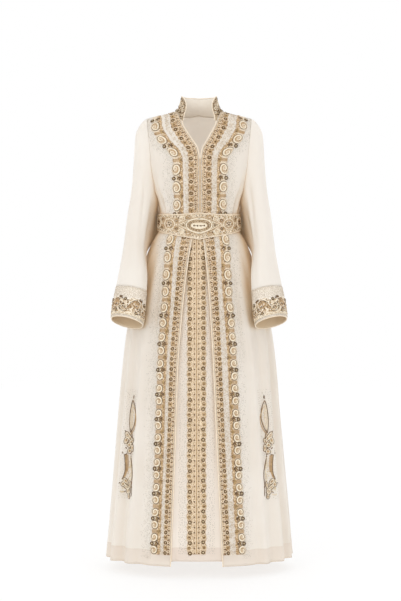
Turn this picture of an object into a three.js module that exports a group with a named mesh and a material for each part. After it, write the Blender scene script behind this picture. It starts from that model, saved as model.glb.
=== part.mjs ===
// A long ceremonial kaftan, worn and filled out: an open-fronted robe over a front under-panel, with deep
// wide sleeves, embroidered cuffs, a stand collar running into a V neck, and its own shaped belt.
// Millimetres, +Z up, the wearer faces -Y, +X is the wearer's left.
// The origin is the middle of the shoulder line, where the wearer carries the garment.
import * as THREE from "three";

// ---- Driving dimensions -------------------------------------------------------------------------

const HEM = -1462; // the robe's hem below the shoulder line
const UNDER_HEM = -1447; // the under-panel is cut a little shorter
const CLOTH = 1.2; // crepe with its backing
const CUFF_CLOTH = 1.9; // the cuff is the same crepe, doubled
const COLLAR_CLOTH = 2.0;
const BELT_CLOTH = 2.6;
const STITCHED = 1.1; // the raised thickness of a densely embroidered band
const SEAM = 0.3; // between pieces that are sewn together
const PIPING = 1.4; // the radius of the satin piping on the robe's edges
const BELT_PIPING = 1.5;
const BELT_EASE = 3.5; // from the robe's outside to the belt's inside, over bands and piping
const UNDER_EASE = 12; // how far the under-panel hangs behind the robe's fronts
const UNDER_SEAM_EASE = 2.4; // and at the waist, where it is sewn in behind the piping

const TIP_X = 172; // the shoulder tips
const SHOULDER = -19; // and their height
const NECK_X = 82; // where the shoulder seam meets the collar
const UNDERARM = -305; // a deep kaftan armhole ends just above the belt
const CLOSING_X = 3; // the fronts meet a little to the wearer's left of the middle
const V_BOTTOM = -160;
const CLOSING_FOOT = -345; // behind the belt, where the fronts start to part

const EDGE_SET = 2 * PIPING + 1.5 * SEAM; // from the closing to a front's cloth, with piping between

// How finely the pieces are divided.
const PLAIN_COLUMNS = 14; // of a front, between its bands and the side seam
const BACK_SIDE_COLUMNS = 10; // of the back, from an armhole to the neck
const BACK_NECK_COLUMNS = 12;
const BELT_COLUMNS = 40;
const BELT_ROWS = 3;
const UNDER_SIDE_COLUMNS = 4; // of the under-panel, on each side of its strip
const UNDER_STRIP_COLUMNS = 4;
const COLLAR_ROWS = 4;
const PIPING_SIDES = 5;
const MEASURING_STEPS = 160; // for lengths taken over the cloth
const NORMAL_STEP = 0.6; // millimetres and degrees
const NECKLINE_STEPS = 40; // of halving the miss, when a section is cut by the neckline

// ---- Tables -------------------------------------------------------------------------------------

// Sections of the worn body of the robe, by the height at which they cross the shoulder tip: half width,
// depths in front of and behind the side line, where that line stands, how much higher the section runs at
// the neck than at the tip, and how square it is (2 is an ellipse).
const BODY = [
  { level: HEM, wide: 300, front: 205, back: 196, side: 22, tilt: 0, square: 2.05 },
  { level: -1110, wide: 268, front: 180, back: 176, side: 22, tilt: 0, square: 2.05 },
  { level: -815, wide: 247, front: 160, back: 156, side: 20, tilt: 0, square: 2.0 },
  { level: -716, wide: 236, front: 150, back: 148, side: 19, tilt: 0, square: 1.95 },
  { level: -620, wide: 217, front: 138, back: 137, side: 17, tilt: 0, square: 1.95 },
  { level: -520, wide: 189, front: 121, back: 124, side: 13, tilt: 0, square: 2.05 },
  { level: -455, wide: 167, front: 110, back: 111, side: 9, tilt: 0, square: 2.15 },
  { level: -420, wide: 151, front: 102, back: 98, side: 6, tilt: 0, square: 2.2 },
  { level: -385, wide: 132, front: 93, back: 81, side: 4, tilt: 0, square: 2.25 },
  { level: -345, wide: 128, front: 89, back: 74, side: 3, tilt: 0, square: 2.25 },
  { level: UNDERARM, wide: 133, front: 93, back: 77, side: 3, tilt: 1, square: 2.3 },
  { level: -247, wide: 157, front: 105, back: 87, side: 2, tilt: 4, square: 2.35 },
  { level: -180, wide: 177, front: 107, back: 95, side: 1, tilt: 12, square: 2.35 },
  { level: -110, wide: 186, front: 98, back: 96, side: 0, tilt: 28, square: 2.3 },
  { level: -66, wide: 187, front: 82, back: 83, side: 0, tilt: 38, square: 2.25 },
  { level: -42, wide: 186, front: 62, back: 65, side: 0, tilt: 41, square: 2.2 },
  { level: -27, wide: 183, front: 37, back: 40, side: 0, tilt: 42, square: 2.1 },
  { level: SHOULDER, wide: 178, front: SEAM / 2, back: SEAM / 2, side: 0, tilt: 42, square: 2.0 },
];

// The armhole's edge on the front and on the back, from the underarm to the tip.
const ARMHOLE = [
  { level: UNDERARM, front: 133, back: 133 },
  { level: -290, front: 136, back: 136 },
  { level: -247, front: 146, back: 146 },
  { level: -180, front: 157, back: 156 },
  { level: -110, front: 163, back: 162 },
  { level: -66, front: 167, back: 167 },
  { level: -27, front: 171, back: 171 },
  { level: SHOULDER, front: TIP_X, back: TIP_X },
];

// The neckline from the bottom of the V to the shoulder seam. The collar stands on it above CORNER.
const CORNER = -36;
const CORNER_X = 58;
const NECKLINE = [
  { z: V_BOTTOM, x: 3.4 },
  { z: -128, x: 9 },
  { z: -112, x: 18 },
  { z: -93, x: 30 },
  { z: -72, x: 42 },
  { z: -52, x: 53 },
  { z: CORNER, x: CORNER_X },
  { z: -20, x: 63 },
  { z: -8, x: 70 },
  { z: 3, x: NECK_X },
];
const BACK_NECK_LEVEL = -42; // the middle of the back neckline

// The open edges of the two fronts under the belt, each measured from the middle.
const OPENING = [
  { level: HEM, right: -92, left: 77 },
  { level: -1110, right: -79, left: 60 },
  { level: -815, right: -69, left: 47 },
  { level: -620, right: -53, left: 36 },
  { level: -520, right: -41, left: 27 },
  { level: -430, right: -27, left: 17 },
  { level: -385, right: -14, left: 10 },
  { level: CLOSING_FOOT, right: CLOSING_X - EDGE_SET, left: CLOSING_X + EDGE_SET },
];

// Where the embroidered bands run, measured across the cloth from the front edge or the neckline.
const BANDS = [
  { level: HEM, flower: 24, scrollIn: 37, scrollOut: 76 },
  { level: -620, flower: 27, scrollIn: 39, scrollOut: 79 },
  { level: -430, flower: 34, scrollIn: 49, scrollOut: 90 },
  { level: -247, flower: 35, scrollIn: 50, scrollOut: 92 },
  { level: -170, flower: 35, scrollIn: 52, scrollOut: 95 },
  { level: -110, flower: 35, scrollIn: 58, scrollOut: 100 },
  { level: -66, flower: 30, scrollIn: 52, scrollOut: 92 },
  { level: -42, flower: 22, scrollIn: 42, scrollOut: 80 },
  { level: SHOULDER, flower: 12, scrollIn: 26, scrollOut: 62 },
];

const PLAIN_LEAST = 12; // of plain cloth between a band and the side

// Rows of the robe from hem to underarm, and from underarm to shoulder.
const SKIRT_LEVELS = [HEM, -1426, -1260, -1080, -905, -745, -615, -520, -460, -420, -385, -345];
const ARMHOLE_LEVELS = [UNDERARM, -296, -273, -240, -200, -160, -120, -88, -62, -42, -28, SHOULDER];

// Soft folds, each a rounded ridge along a line that keeps its turn round the body, in degrees from the
// middle of the front: half its breadth, its depth, and the levels where it starts, is deepest, and ends.
const SKIRT_FOLDS = [
  { turn: 45, half: 8, deep: 15, top: -402, full: -1250 },
  { turn: 61, half: 9, deep: 22, top: -394, full: -1330 },
  { turn: 79, half: 9, deep: 19, top: -388, full: -1150 },
  { turn: 97, half: 9, deep: 24, top: -386, full: -1350 },
  { turn: 115, half: 10, deep: 20, top: -386, full: -1200 },
  { turn: 134, half: 9, deep: 26, top: -386, full: -1330 },
  { turn: 152, half: 9, deep: 21, top: -386, full: -1240 },
  { turn: 170, half: 9, deep: 25, top: -386, full: -1380 },
  { turn: -48, half: 9, deep: 17, top: -400, full: -1200 },
  { turn: -66, half: 9, deep: 23, top: -390, full: -1320 },
  { turn: -83, half: 9, deep: 18, top: -388, full: -1180 },
  { turn: -101, half: 9, deep: 25, top: -386, full: -1340 },
  { turn: -119, half: 10, deep: 20, top: -386, full: -1260 },
  { turn: -138, half: 9, deep: 26, top: -386, full: -1350 },
  { turn: -155, half: 9, deep: 19, top: -386, full: -1200 },
  { turn: -172, half: 8, deep: 23, top: -386, full: -1300 },
];
const FOLD_GROWTH = 0.7; // below 1, a fold deepens faster near its start
// The folds stand about the section: the cloth between them is drawn in by a share of their usual depth, but
// not under the embroidered bands, which keep the front smooth.
const DRAWN_IN = { deep: 8.4, top: -390, full: -1290, bands: 30, clear: 42 };
const BODICE_FOLDS = [
  { turn: 52, half: 9, deep: 4, top: -205, full: -300, end: -350 },
  { turn: 68, half: 8, deep: 5, top: -240, full: -308, end: -352 },
  { turn: 118, half: 11, deep: 5, top: -215, full: -305, end: -352 },
  { turn: 146, half: 11, deep: 6, top: -190, full: -300, end: -352 },
  { turn: -50, half: 8, deep: 5, top: -215, full: -302, end: -350 },
  { turn: -66, half: 9, deep: 4, top: -235, full: -306, end: -352 },
  { turn: -121, half: 11, deep: 6, top: -205, full: -300, end: -352 },
  { turn: -150, half: 11, deep: 5, top: -185, full: -305, end: -352 },
];

// Rings of a sleeve, as shares of its length: its outer and inner points seen from the front, where it
// stands front to back, its depths, how far its front is turned in towards the body, and how much higher
// its front edge is than its middle.
const SLEEVE = [
  { s: 0.0, outX: 172, outZ: -19, inX: 134, inZ: -305, y: 0, front: 58, back: 54, turned: 0, lift: 0 },
  { s: 0.06, outX: 199, outZ: -37, inX: 140, inZ: -318, y: 0, front: 63, back: 58, turned: 0, lift: 0 },
  { s: 0.15, outX: 211, outZ: -82, inX: 146, inZ: -341, y: 0, front: 66, back: 61, turned: 2, lift: 0 },
  { s: 0.27, outX: 215, outZ: -150, inX: 152, inZ: -377, y: -4, front: 66, back: 62, turned: 5, lift: 0 },
  { s: 0.4, outX: 221, outZ: -240, inX: 163, inZ: -424, y: -16, front: 64, back: 60, turned: 10, lift: 0 },
  { s: 0.55, outX: 235, outZ: -345, inX: 172, inZ: -474, y: -38, front: 61, back: 58, turned: 16, lift: 2 },
  { s: 0.7, outX: 246, outZ: -450, inX: 169, inZ: -530, y: -66, front: 59, back: 56, turned: 16, lift: 5 },
  { s: 0.86, outX: 268, outZ: -574, inX: 171, inZ: -594, y: -84, front: 57, back: 55, turned: 15, lift: 10 },
  { s: 0.93, outX: 278, outZ: -624, inX: 175, inZ: -650, y: -93, front: 59, back: 57, turned: 13, lift: 15 },
  { s: 1.0, outX: 283, outZ: -673, inX: 181, inZ: -702, y: -101, front: 61, back: 59, turned: 12, lift: 19 },
];
const CUFF_SEAM = 0.86;
const SLEEVE_RINGS = [0, 0.035, 0.08, 0.15, 0.24, 0.34, 0.45, 0.57, 0.7, CUFF_SEAM];
const CUFF_RINGS = [CUFF_SEAM, 0.91, 0.955, 1];
// The shares of a sleeve over which the armhole's shape gives way to the ring's, above and under the arm.
const ARMHOLE_BLEND = { top: 0.13, underarm: 0.32 };

// Troughs that hang from the underarm: place round the ring (0 outside, 90 front, 180 inside), half breadth,
// depth, and the stretch of sleeve that they run along.
const SLEEVE_CREASES = {
  left: [
    { around: 152, half: 30, deep: 22, from: 0.03, full: 0.34, to: 0.72 },
    { around: 112, half: 15, deep: 7, from: 0.05, full: 0.3, to: 0.6 },
    { around: 232, half: 24, deep: 12, from: 0.04, full: 0.36, to: 0.8 },
  ],
  right: [
    { around: 150, half: 32, deep: 24, from: 0.03, full: 0.36, to: 0.74 },
    { around: 96, half: 14, deep: 4, from: 0.1, full: 0.3, to: 0.55 },
    { around: 238, half: 24, deep: 11, from: 0.04, full: 0.34, to: 0.78 },
  ],
};

// The inner back of each sleeve hangs in behind the waist: place round the ring, half breadth, how far it
// reaches in and back, and the stretch of sleeve that it runs along.
const TUCK = { around: 229, half: 47, inward: 51, backward: 38, from: 0.12, full: 0.29, until: 0.34, to: 0.64 };

// The collar's upper edge above its seam, by the share of the way from the front corner to the middle of the
// back: its half width, how far it stands before or behind the shoulder line, and its height.
const COLLAR_TOP = [
  { share: 0.0, x: 53.5, y: -76.5, z: -35 },
  { share: 0.1, x: 50, y: -71, z: -14 },
  { share: 0.2, x: 44.5, y: -65, z: 4 },
  { share: 0.31, x: 44, y: -55, z: 20 },
  { share: 0.42, x: 49, y: -38, z: 37 },
  { share: 0.52, x: 57, y: -14, z: 51 },
  { share: 0.66, x: 59, y: 16, z: 54 },
  { share: 0.84, x: 42, y: 45, z: 54 },
  { share: 1.0, x: 0, y: 57, z: 53 },
];
const CORNER_CLEAR = 0.15; // the share of the neck seam's first step left open at each front corner
const COLLAR_HOLLOW = 4; // how far the collar's middle stands in from the straight line up it
const COLLAR_STAND = 40; // where the collar is lower than this, it is hollowed less
const NECK_MIDDLE = new THREE.Vector3(0, -8, -40); // a place inside the neck that the collar faces away from

// The belt's edges by the turn from the middle of the front.
const BELT = [
  { turn: 0, top: -338, bottom: -419 },
  { turn: 8, top: -340, bottom: -414 },
  { turn: 30, top: -342, bottom: -405 },
  { turn: 60, top: -340, bottom: -393 },
  { turn: 90, top: -338, bottom: -384 },
  { turn: 180, top: -335, bottom: -380 },
];
const BELT_CROWDING = 0.12; // how much closer the belt's columns stand over the shaped front
// The medallion is a pointed oval: its outline falls off as a power of the way out to a blunt tip.
const MEDALLION = { level: -377, halfTurn: 25, halfTall: 25, blunt: 0.08, power: 1.6, thick: 1.8, lift: 0.7 };
const MEDALLION_COLUMNS = 14;
const MEDALLION_ROWS = 4;

// The under-panel and its embroidered strip.
const UNDER_TOP = -352;
const UNDER_FALL = 170; // how far down it has swung clear of the fronts
const UNDER_LEVELS = [UNDER_HEM, -1424, -1260, -1080, -905, -745, -615, -520, -460, -420, -400, UNDER_TOP];
const UNDER_MIDDLE = -8; // the strip runs a little to the wearer's right
const UNDER_STRIP = 32; // half its width
const UNDER_OVERLAP = 46; // how far the panel reaches behind each front
const UNDER_FOLDS = [
  { turn: 14.5, half: 4, deep: 6, top: -520, full: -1300 },
  { turn: -17.5, half: 4, deep: 7, top: -540, full: -1250 },
];

// The leaf-and-paisley motifs on the skirt's sides take up these rows and columns of each front.
const MOTIF_LEVELS = [-1260, -1080, -905];
const MOTIF_COLUMNS = [11, 13];

const COLOURS = {
  crepe: { color: 0xf0e7db, roughness: 0.78, metalness: 0 },
  underCrepe: { color: 0xf3ece2, roughness: 0.75, metalness: 0 },
  satin: { color: 0xf4e2c6, roughness: 0.4, metalness: 0 },
  scroll: { color: 0xc9b48c, roughness: 0.5, metalness: 0.25 },
  flower: { color: 0xb79d76, roughness: 0.5, metalness: 0.25 },
  belt: { color: 0xdccfb4, roughness: 0.55, metalness: 0.15 },
  medallion: { color: 0xa88f63, roughness: 0.45, metalness: 0.35 },
  cuff: { color: 0xd2c4a6, roughness: 0.6, metalness: 0.15 },
};

// ---- Reading tables -----------------------------------------------------------------------------

const clamp = (value, low, high) => Math.min(high, Math.max(low, value));
const lerp = (a, b, t) => a + (b - a) * t;
const ease = (t) => {
  const s = clamp(t, 0, 1);
  return s * s * (3 - 2 * s);
};

// A column of a table at a place along it, as a smooth curve that never overshoots its rows.
function read(rows, along, place, column) {
  const last = rows.length - 1;
  const at = clamp(place, rows[0][along], rows[last][along]);
  let i = 0;
  while (i < last - 1 && at > rows[i + 1][along]) i += 1;
  const slope = (k) => (rows[k + 1][column] - rows[k][column]) / (rows[k + 1][along] - rows[k][along]);
  const bend = (k) => {
    if (k === 0) return slope(0);
    if (k === last) return slope(last - 1);
    const before = slope(k - 1);
    const after = slope(k);
    return before * after <= 0 ? 0 : (2 * before * after) / (before + after);
  };
  const span = rows[i + 1][along] - rows[i][along];
  const t = (at - rows[i][along]) / span;
  const t2 = t * t;
  const t3 = t2 * t;
  return (
    rows[i][column] * (2 * t3 - 3 * t2 + 1) +
    bend(i) * span * (t3 - 2 * t2 + t) +
    rows[i + 1][column] * (3 * t2 - 2 * t3) +
    bend(i + 1) * span * (t3 - t2)
  );
}

// ---- The form of the robe -----------------------------------------------------------------------

const radians = (degrees) => (degrees * Math.PI) / 180;
const degrees = (angle) => (angle * 180) / Math.PI;

// How far the folds of a table push the cloth out at a level and turn.
function foldDepth(folds, level, turn) {
  let sum = 0;
  for (const fold of folds) {
    const across = Math.abs(turn - fold.turn) / fold.half;
    if (across >= 1) continue;
    const fade = fold.end === undefined ? 1 : 1 - ease((fold.full - level) / (fold.full - fold.end));
    const grown = ease((fold.top - level) / (fold.top - fold.full)) ** FOLD_GROWTH * fade;
    sum += fold.deep * grown * Math.cos((across * Math.PI) / 2) ** 2;
  }
  return sum;
}

// How far the cloth between the folds is drawn in.
function drawnIn(level, turn) {
  const clearOfBands = ease((Math.abs(turn) - DRAWN_IN.bands) / (DRAWN_IN.clear - DRAWN_IN.bands));
  const grown = ease((DRAWN_IN.top - level) / (DRAWN_IN.top - DRAWN_IN.full)) ** FOLD_GROWTH;
  return DRAWN_IN.deep * grown * clearOfBands;
}

// A point of the robe's outside, or of the smooth form that it is laid on, moved out by `out`.
function robe(level, turn, { folded = true, out = 0, folds = null } = {}) {
  const at = (column) => read(BODY, "level", level, column);
  const wide = at("wide");
  const square = at("square");
  const a = radians(Math.abs(turn));
  const ahead = Math.cos(a) >= 0;
  const deep = ahead ? at("front") : at("back");
  const sx = Math.abs(Math.sin(a)) ** (2 / square);
  const sy = Math.abs(Math.cos(a)) ** (2 / square);
  const half = turn < 0 ? -1 : 1;
  const normalX = sx ** (square - 1) / wide;
  const normalY = sy ** (square - 1) / deep;
  const long = Math.hypot(normalX, normalY);
  let push = out;
  if (folded) {
    push += foldDepth(SKIRT_FOLDS, level, turn) + foldDepth(BODICE_FOLDS, level, turn);
    push -= drawnIn(level, turn);
  }
  if (folds) push += foldDepth(folds, level, turn);
  const x = wide * sx + (normalX / long) * push;
  const y = deep * sy + (normalY / long) * push;
  return new THREE.Vector3(
    half * x,
    at("side") - (ahead ? y : -y),
    level + at("tilt") * (1 - x / TIP_X),
  );
}

// The outward normal of a surface given as a function of a level and a turn.
function normalOf(surface, level, turn) {
  const low = Math.max(level - NORMAL_STEP, HEM);
  const high = Math.min(level + NORMAL_STEP, SHOULDER);
  const up = surface(high, turn).sub(surface(low, turn));
  const round = surface(level, turn + NORMAL_STEP).sub(surface(level, turn - NORMAL_STEP));
  const normal = round.cross(up).normalize();
  if (high === SHOULDER) normal.setY(0).normalize();
  return normal;
}

// The turn at which a section is `x` wide.
function turnAt(level, x) {
  const share = clamp(Math.abs(x) / read(BODY, "level", level, "wide"), 0, 1);
  const turn = degrees(Math.asin(share ** (read(BODY, "level", level, "square") / 2)));
  return x < 0 ? -turn : turn;
}

// The x of a front's inner edge at a level: its open edge, the closing, or the neckline. `half` is 1 or -1.
function innerEdge(level, half) {
  const tilt = read(BODY, "level", level, "tilt");
  if (level + tilt > V_BOTTOM) {
    // The section slopes, so its height depends on the x that is looked for.
    let x = NECK_X / 2;
    for (let i = 0; i < NECKLINE_STEPS; i += 1) {
      const z = Math.max(level + tilt * (1 - x / TIP_X), V_BOTTOM);
      x = (x + read(NECKLINE, "z", z, "x")) / 2;
    }
    return half * x + CLOSING_X * ease(1 - x / CORNER_X);
  }
  if (level > CLOSING_FOOT) return CLOSING_X + half * EDGE_SET;
  return read(OPENING, "level", level, half > 0 ? "left" : "right");
}

// The turn of a panel's outer edge: the armhole above the underarm and the side seam below it.
function outerTurn(level, half, panel) {
  if (level <= UNDERARM) {
    const square = read(BODY, "level", level, "square");
    const deep = read(BODY, "level", level, panel);
    const seamTurn = degrees((SEAM / 2 / deep) ** (square / 2));
    return half * (panel === "front" ? 90 - seamTurn : 90 + seamTurn);
  }
  const turn = Math.abs(turnAt(level, read(ARMHOLE, "level", level, panel)));
  return half * (panel === "front" ? turn : 180 - turn);
}

// Turns along one level, from one turn to another, at given distances measured over the cloth.
function turnsAt(level, from, to, distances) {
  const turns = [from];
  const run = [0];
  let before = robe(level, from);
  for (let i = 1; i <= MEASURING_STEPS; i += 1) {
    const turn = lerp(from, to, i / MEASURING_STEPS);
    const here = robe(level, turn);
    run.push(run[i - 1] + here.distanceTo(before));
    turns.push(turn);
    before = here;
  }
  const whole = run[MEASURING_STEPS];
  return distances(whole).map((distance) => {
    const at = clamp(distance, 0, whole);
    let i = 1;
    while (i < MEASURING_STEPS && run[i] < at) i += 1;
    return lerp(turns[i - 1], turns[i], (at - run[i - 1]) / (run[i] - run[i - 1]));
  });
}

// ---- Walls --------------------------------------------------------------------------------------

// A closed wall over rows of {point, normal}: its outside is the points moved out by `lift`, and its inside
// lies `thick` behind that. `ring` closes each row on itself.
function wall(rows, { thick = CLOTH, lift = 0, ring = false } = {}) {
  const down = rows.length;
  const across = rows[0].length;
  const positions = [];
  for (const depth of [lift, lift - thick]) {
    for (const row of rows) {
      for (const { point, normal } of row) {
        positions.push(...point.clone().addScaledVector(normal, depth).toArray());
      }
    }
  }
  const at = (layer, i, j) => layer * down * across + i * across + (j % across);
  const index = [];
  const quad = (a, b, c, d) => index.push(a, b, c, a, c, d);
  const columns = ring ? across : across - 1;
  for (let i = 0; i < down - 1; i += 1) {
    for (let j = 0; j < columns; j += 1) {
      quad(at(0, i, j), at(0, i, j + 1), at(0, i + 1, j + 1), at(0, i + 1, j));
      quad(at(1, i, j), at(1, i + 1, j), at(1, i + 1, j + 1), at(1, i, j + 1));
    }
  }
  for (let j = 0; j < columns; j += 1) {
    quad(at(1, 0, j), at(1, 0, j + 1), at(0, 0, j + 1), at(0, 0, j));
    quad(at(0, down - 1, j), at(0, down - 1, j + 1), at(1, down - 1, j + 1), at(1, down - 1, j));
  }
  if (!ring) {
    const end = across - 1;
    for (let i = 0; i < down - 1; i += 1) {
      quad(at(0, i, 0), at(0, i + 1, 0), at(1, i + 1, 0), at(1, i, 0));
      quad(at(1, i, end), at(1, i + 1, end), at(0, i + 1, end), at(0, i, end));
    }
  }
  return facingOut(positions, index);
}

// A cord of round section along a path, with an across direction at each point.
function cord(path, acrosses, radius, { ring = false, sides = PIPING_SIDES } = {}) {
  const positions = [];
  const steps = path.length;
  path.forEach((point, i) => {
    const next = path[ring ? (i + 1) % steps : Math.min(i + 1, steps - 1)];
    const before = path[ring ? (i + steps - 1) % steps : Math.max(i - 1, 0)];
    const along = next.clone().sub(before).normalize();
    const across = acrosses[i].clone().addScaledVector(along, -acrosses[i].dot(along)).normalize();
    const up = along.clone().cross(across);
    for (let k = 0; k < sides; k += 1) {
      const a = (2 * Math.PI * (k + 0.5)) / sides;
      const rim = point.clone().addScaledVector(across, radius * Math.cos(a));
      positions.push(...rim.addScaledVector(up, radius * Math.sin(a)).toArray());
    }
  });
  const index = [];
  for (let i = 0; i < (ring ? steps : steps - 1); i += 1) {
    for (let k = 0; k < sides; k += 1) {
      const a = i * sides + k;
      const b = i * sides + ((k + 1) % sides);
      const c = ((i + 1) % steps) * sides + ((k + 1) % sides);
      const d = ((i + 1) % steps) * sides + k;
      index.push(a, b, c, a, c, d);
    }
  }
  if (!ring) {
    const end = (steps - 1) * sides;
    for (let k = 1; k < sides - 1; k += 1) {
      index.push(0, k + 1, k);
      index.push(end, end + k, end + k + 1);
    }
  }
  return facingOut(positions, index);
}

// A geometry whose faces point out, whichever way its rows ran.
function facingOut(positions, index) {
  let volume = 0;
  const corner = (i) => new THREE.Vector3().fromArray(positions, 3 * index[i]);
  for (let i = 0; i < index.length; i += 3) volume += corner(i).dot(corner(i + 1).cross(corner(i + 2)));
  if (volume < 0) {
    for (let i = 0; i < index.length; i += 3) [index[i + 1], index[i + 2]] = [index[i + 2], index[i + 1]];
  }
  const geometry = new THREE.BufferGeometry();
  geometry.setAttribute("position", new THREE.Float32BufferAttribute(positions, 3));
  geometry.setIndex(index);
  return geometry;
}

const kaftan = new THREE.Group();

function piece(name, colour, geometry) {
  const mesh = new THREE.Mesh(geometry, new THREE.MeshStandardMaterial(COLOURS[colour]));
  mesh.name = name;
  kaftan.add(mesh);
}

// ---- Fronts and their bands ---------------------------------------------------------------------

const FRONT_LEVELS = [...SKIRT_LEVELS, ...ARMHOLE_LEVELS];
const BAND_COLUMNS = { flower: [0, 2], scroll: [3, 5] }; // of a front's grid, from its inner edge

function cell(surface, level, turn) {
  return { point: surface(level, turn), normal: normalOf(surface, level, turn) };
}

function frontRows(half) {
  return FRONT_LEVELS.map((level) => {
    const from = turnAt(level, innerEdge(level, half));
    const to = outerTurn(level, half, "front");
    const band = (column) => read(BANDS, "level", level, column);
    const turns = turnsAt(level, from, to, (whole) => {
      const outer = Math.min(band("scrollOut"), whole - PLAIN_LEAST);
      const middle = (band("scrollIn") + outer) / 2;
      const stops = [0, band("flower") / 2, band("flower"), band("scrollIn"), middle, outer];
      for (let j = 1; j <= PLAIN_COLUMNS; j += 1) stops.push(lerp(outer, whole, j / PLAIN_COLUMNS));
      return stops;
    });
    return turns.map((turn) => cell(robe, level, turn));
  });
}

// The direction across a panel's edge, away from the panel, at each row.
function edgeDirections(rows, pick, inner) {
  return rows.map((row, i) => {
    const here = pick(row);
    const along = pick(rows[Math.min(i + 1, rows.length - 1)])
      .point.clone()
      .sub(pick(rows[Math.max(i - 1, 0)]).point);
    const out = along.cross(here.normal).normalize();
    return out.dot(inner(row).point.clone().sub(here.point)) > 0 ? out.negate() : out;
  });
}

function edgePiping(rows, top) {
  const kept = rows.slice(0, top);
  const away = edgeDirections(rows, (row) => row[0], (row) => row[1]).slice(0, top);
  const path = kept.map((row, i) =>
    row[0].point
      .clone()
      .addScaledVector(row[0].normal, -CLOTH / 2)
      .addScaledVector(away[i], PIPING + SEAM),
  );
  return cord(path, away, PIPING);
}

// The first row of a front that reaches the collar's corner.
const cornerRow = FRONT_LEVELS.findIndex((level) => {
  const height = level + read(BODY, "level", level, "tilt") * (1 - innerEdge(level, 1) / TIP_X);
  return height > CORNER - NORMAL_STEP;
});

const fronts = {};
for (const [side, half] of [["left", 1], ["right", -1]]) {
  const rows = frontRows(half);
  fronts[side] = rows;
  piece(`front_${side}`, "crepe", wall(rows));
  for (const [band, [first, last]] of Object.entries(BAND_COLUMNS)) {
    const strip = rows.slice(1).map((row) => row.slice(first, last + 1));
    piece(`${band}_band_${side}`, band, wall(strip, { thick: STITCHED, lift: SEAM + STITCHED }));
  }
  piece(`edge_piping_${side}`, "satin", edgePiping(rows, cornerRow + 1));
}

// ---- Back ---------------------------------------------------------------------------------------

const wrapped = (turn) => (turn > 180 ? turn - 360 : turn);
const backTurn = (level, x) => 180 - turnAt(level, x);
// Above this level the middle columns of the back run up to the neckline instead of the shoulder.
const BACK_GATHER = -120;

// The level where the back ends over a given x: the shoulder seam, or the dip of the back neckline.
function backTop(x) {
  const share = clamp(Math.abs(x) / NECK_X, 0, 1);
  return lerp(SHOULDER, BACK_NECK_LEVEL, Math.sqrt(1 - share * share));
}

// Where each column of the back ends, from the left armhole over the neckline to the right one.
function backEnds() {
  const ends = [];
  for (let j = 0; j < BACK_SIDE_COLUMNS; j += 1) ends.push(lerp(TIP_X, NECK_X, j / BACK_SIDE_COLUMNS));
  for (let j = 0; j <= BACK_NECK_COLUMNS; j += 1) {
    ends.push(NECK_X * Math.cos((Math.PI * j) / BACK_NECK_COLUMNS));
  }
  for (let j = 1; j <= BACK_SIDE_COLUMNS; j += 1) ends.push(-lerp(NECK_X, TIP_X, j / BACK_SIDE_COLUMNS));
  return ends;
}

const backRows = FRONT_LEVELS.map((level) => {
  const from = outerTurn(level, 1, "back");
  const to = 360 + outerTurn(level, -1, "back");
  const gathered = clamp((level - BACK_GATHER) / (SHOULDER - BACK_GATHER), 0, 1);
  return backEnds().map((x) => {
    const first = backTurn(SHOULDER, TIP_X);
    const share = (backTurn(SHOULDER, x) - first) / (2 * (180 - first));
    const reached = level - gathered * (SHOULDER - backTop(x));
    const turn = lerp(lerp(from, to, share), backTurn(reached, x), gathered);
    return cell((l, t) => robe(l, wrapped(t)), reached, turn);
  });
});
piece("back", "crepe", wall(backRows));

// ---- Sleeves and cuffs --------------------------------------------------------------------------

const ARMHOLE_START = FRONT_LEVELS.indexOf(UNDERARM);
const midpoint = (a, b) => a.clone().add(b).multiplyScalar(0.5);

// The armhole's edge as a loop from the shoulder tip down the front, round the underarm and up the back.
function armholeLoop(side, half) {
  const backEdge = (row) => (half > 0 ? row[0] : row[row.length - 1]);
  const front = fronts[side].slice(ARMHOLE_START).map((row) => row[row.length - 1]);
  const back = backRows.slice(ARMHOLE_START).map(backEdge);
  const top = front.length - 1;
  const loop = [];
  for (let i = top; i >= 0; i -= 1) loop.push({ ...front[i], around: 1 });
  for (let i = 1; i < top; i += 1) loop.push({ ...back[i], around: -1 });
  loop[0].point = midpoint(front[top].point, back[top].point);
  loop[top].point = midpoint(front[0].point, back[0].point);
  const low = front[0].point.z;
  const high = front[top].point.z;
  for (const stop of loop) {
    const share = clamp((2 * (stop.point.z - low)) / (high - low) - 1, -1, 1);
    stop.around = degrees(Math.acos(share)) * stop.around;
  }
  return loop;
}

function creaseDepth(creases, s, around) {
  const turn = (around + 360) % 360;
  let sum = 0;
  for (const crease of creases) {
    const across = Math.abs(turn - crease.around) / crease.half;
    if (across >= 1) continue;
    const along = s < crease.full
      ? ease((s - crease.from) / (crease.full - crease.from))
      : 1 - ease((s - crease.full) / (crease.to - crease.full));
    sum += crease.deep * along * Math.cos((across * Math.PI) / 2) ** 2;
  }
  return sum;
}

function tuckShare(s, around) {
  const turn = (around + 360) % 360;
  const across = Math.min(Math.abs(turn - TUCK.around) / TUCK.half, 1);
  const grown = ease((s - TUCK.from) / (TUCK.full - TUCK.from));
  const left = 1 - ease((s - TUCK.until) / (TUCK.to - TUCK.until));
  return grown * left * Math.cos((across * Math.PI) / 2) ** 2;
}

// The middle of a sleeve's ring, and a point of the ring.
function sleeveMiddle(s, half) {
  const at = (column) => read(SLEEVE, "s", s, column);
  return new THREE.Vector3((half * (at("outX") + at("inX"))) / 2, at("y"), (at("outZ") + at("inZ")) / 2);
}

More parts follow.
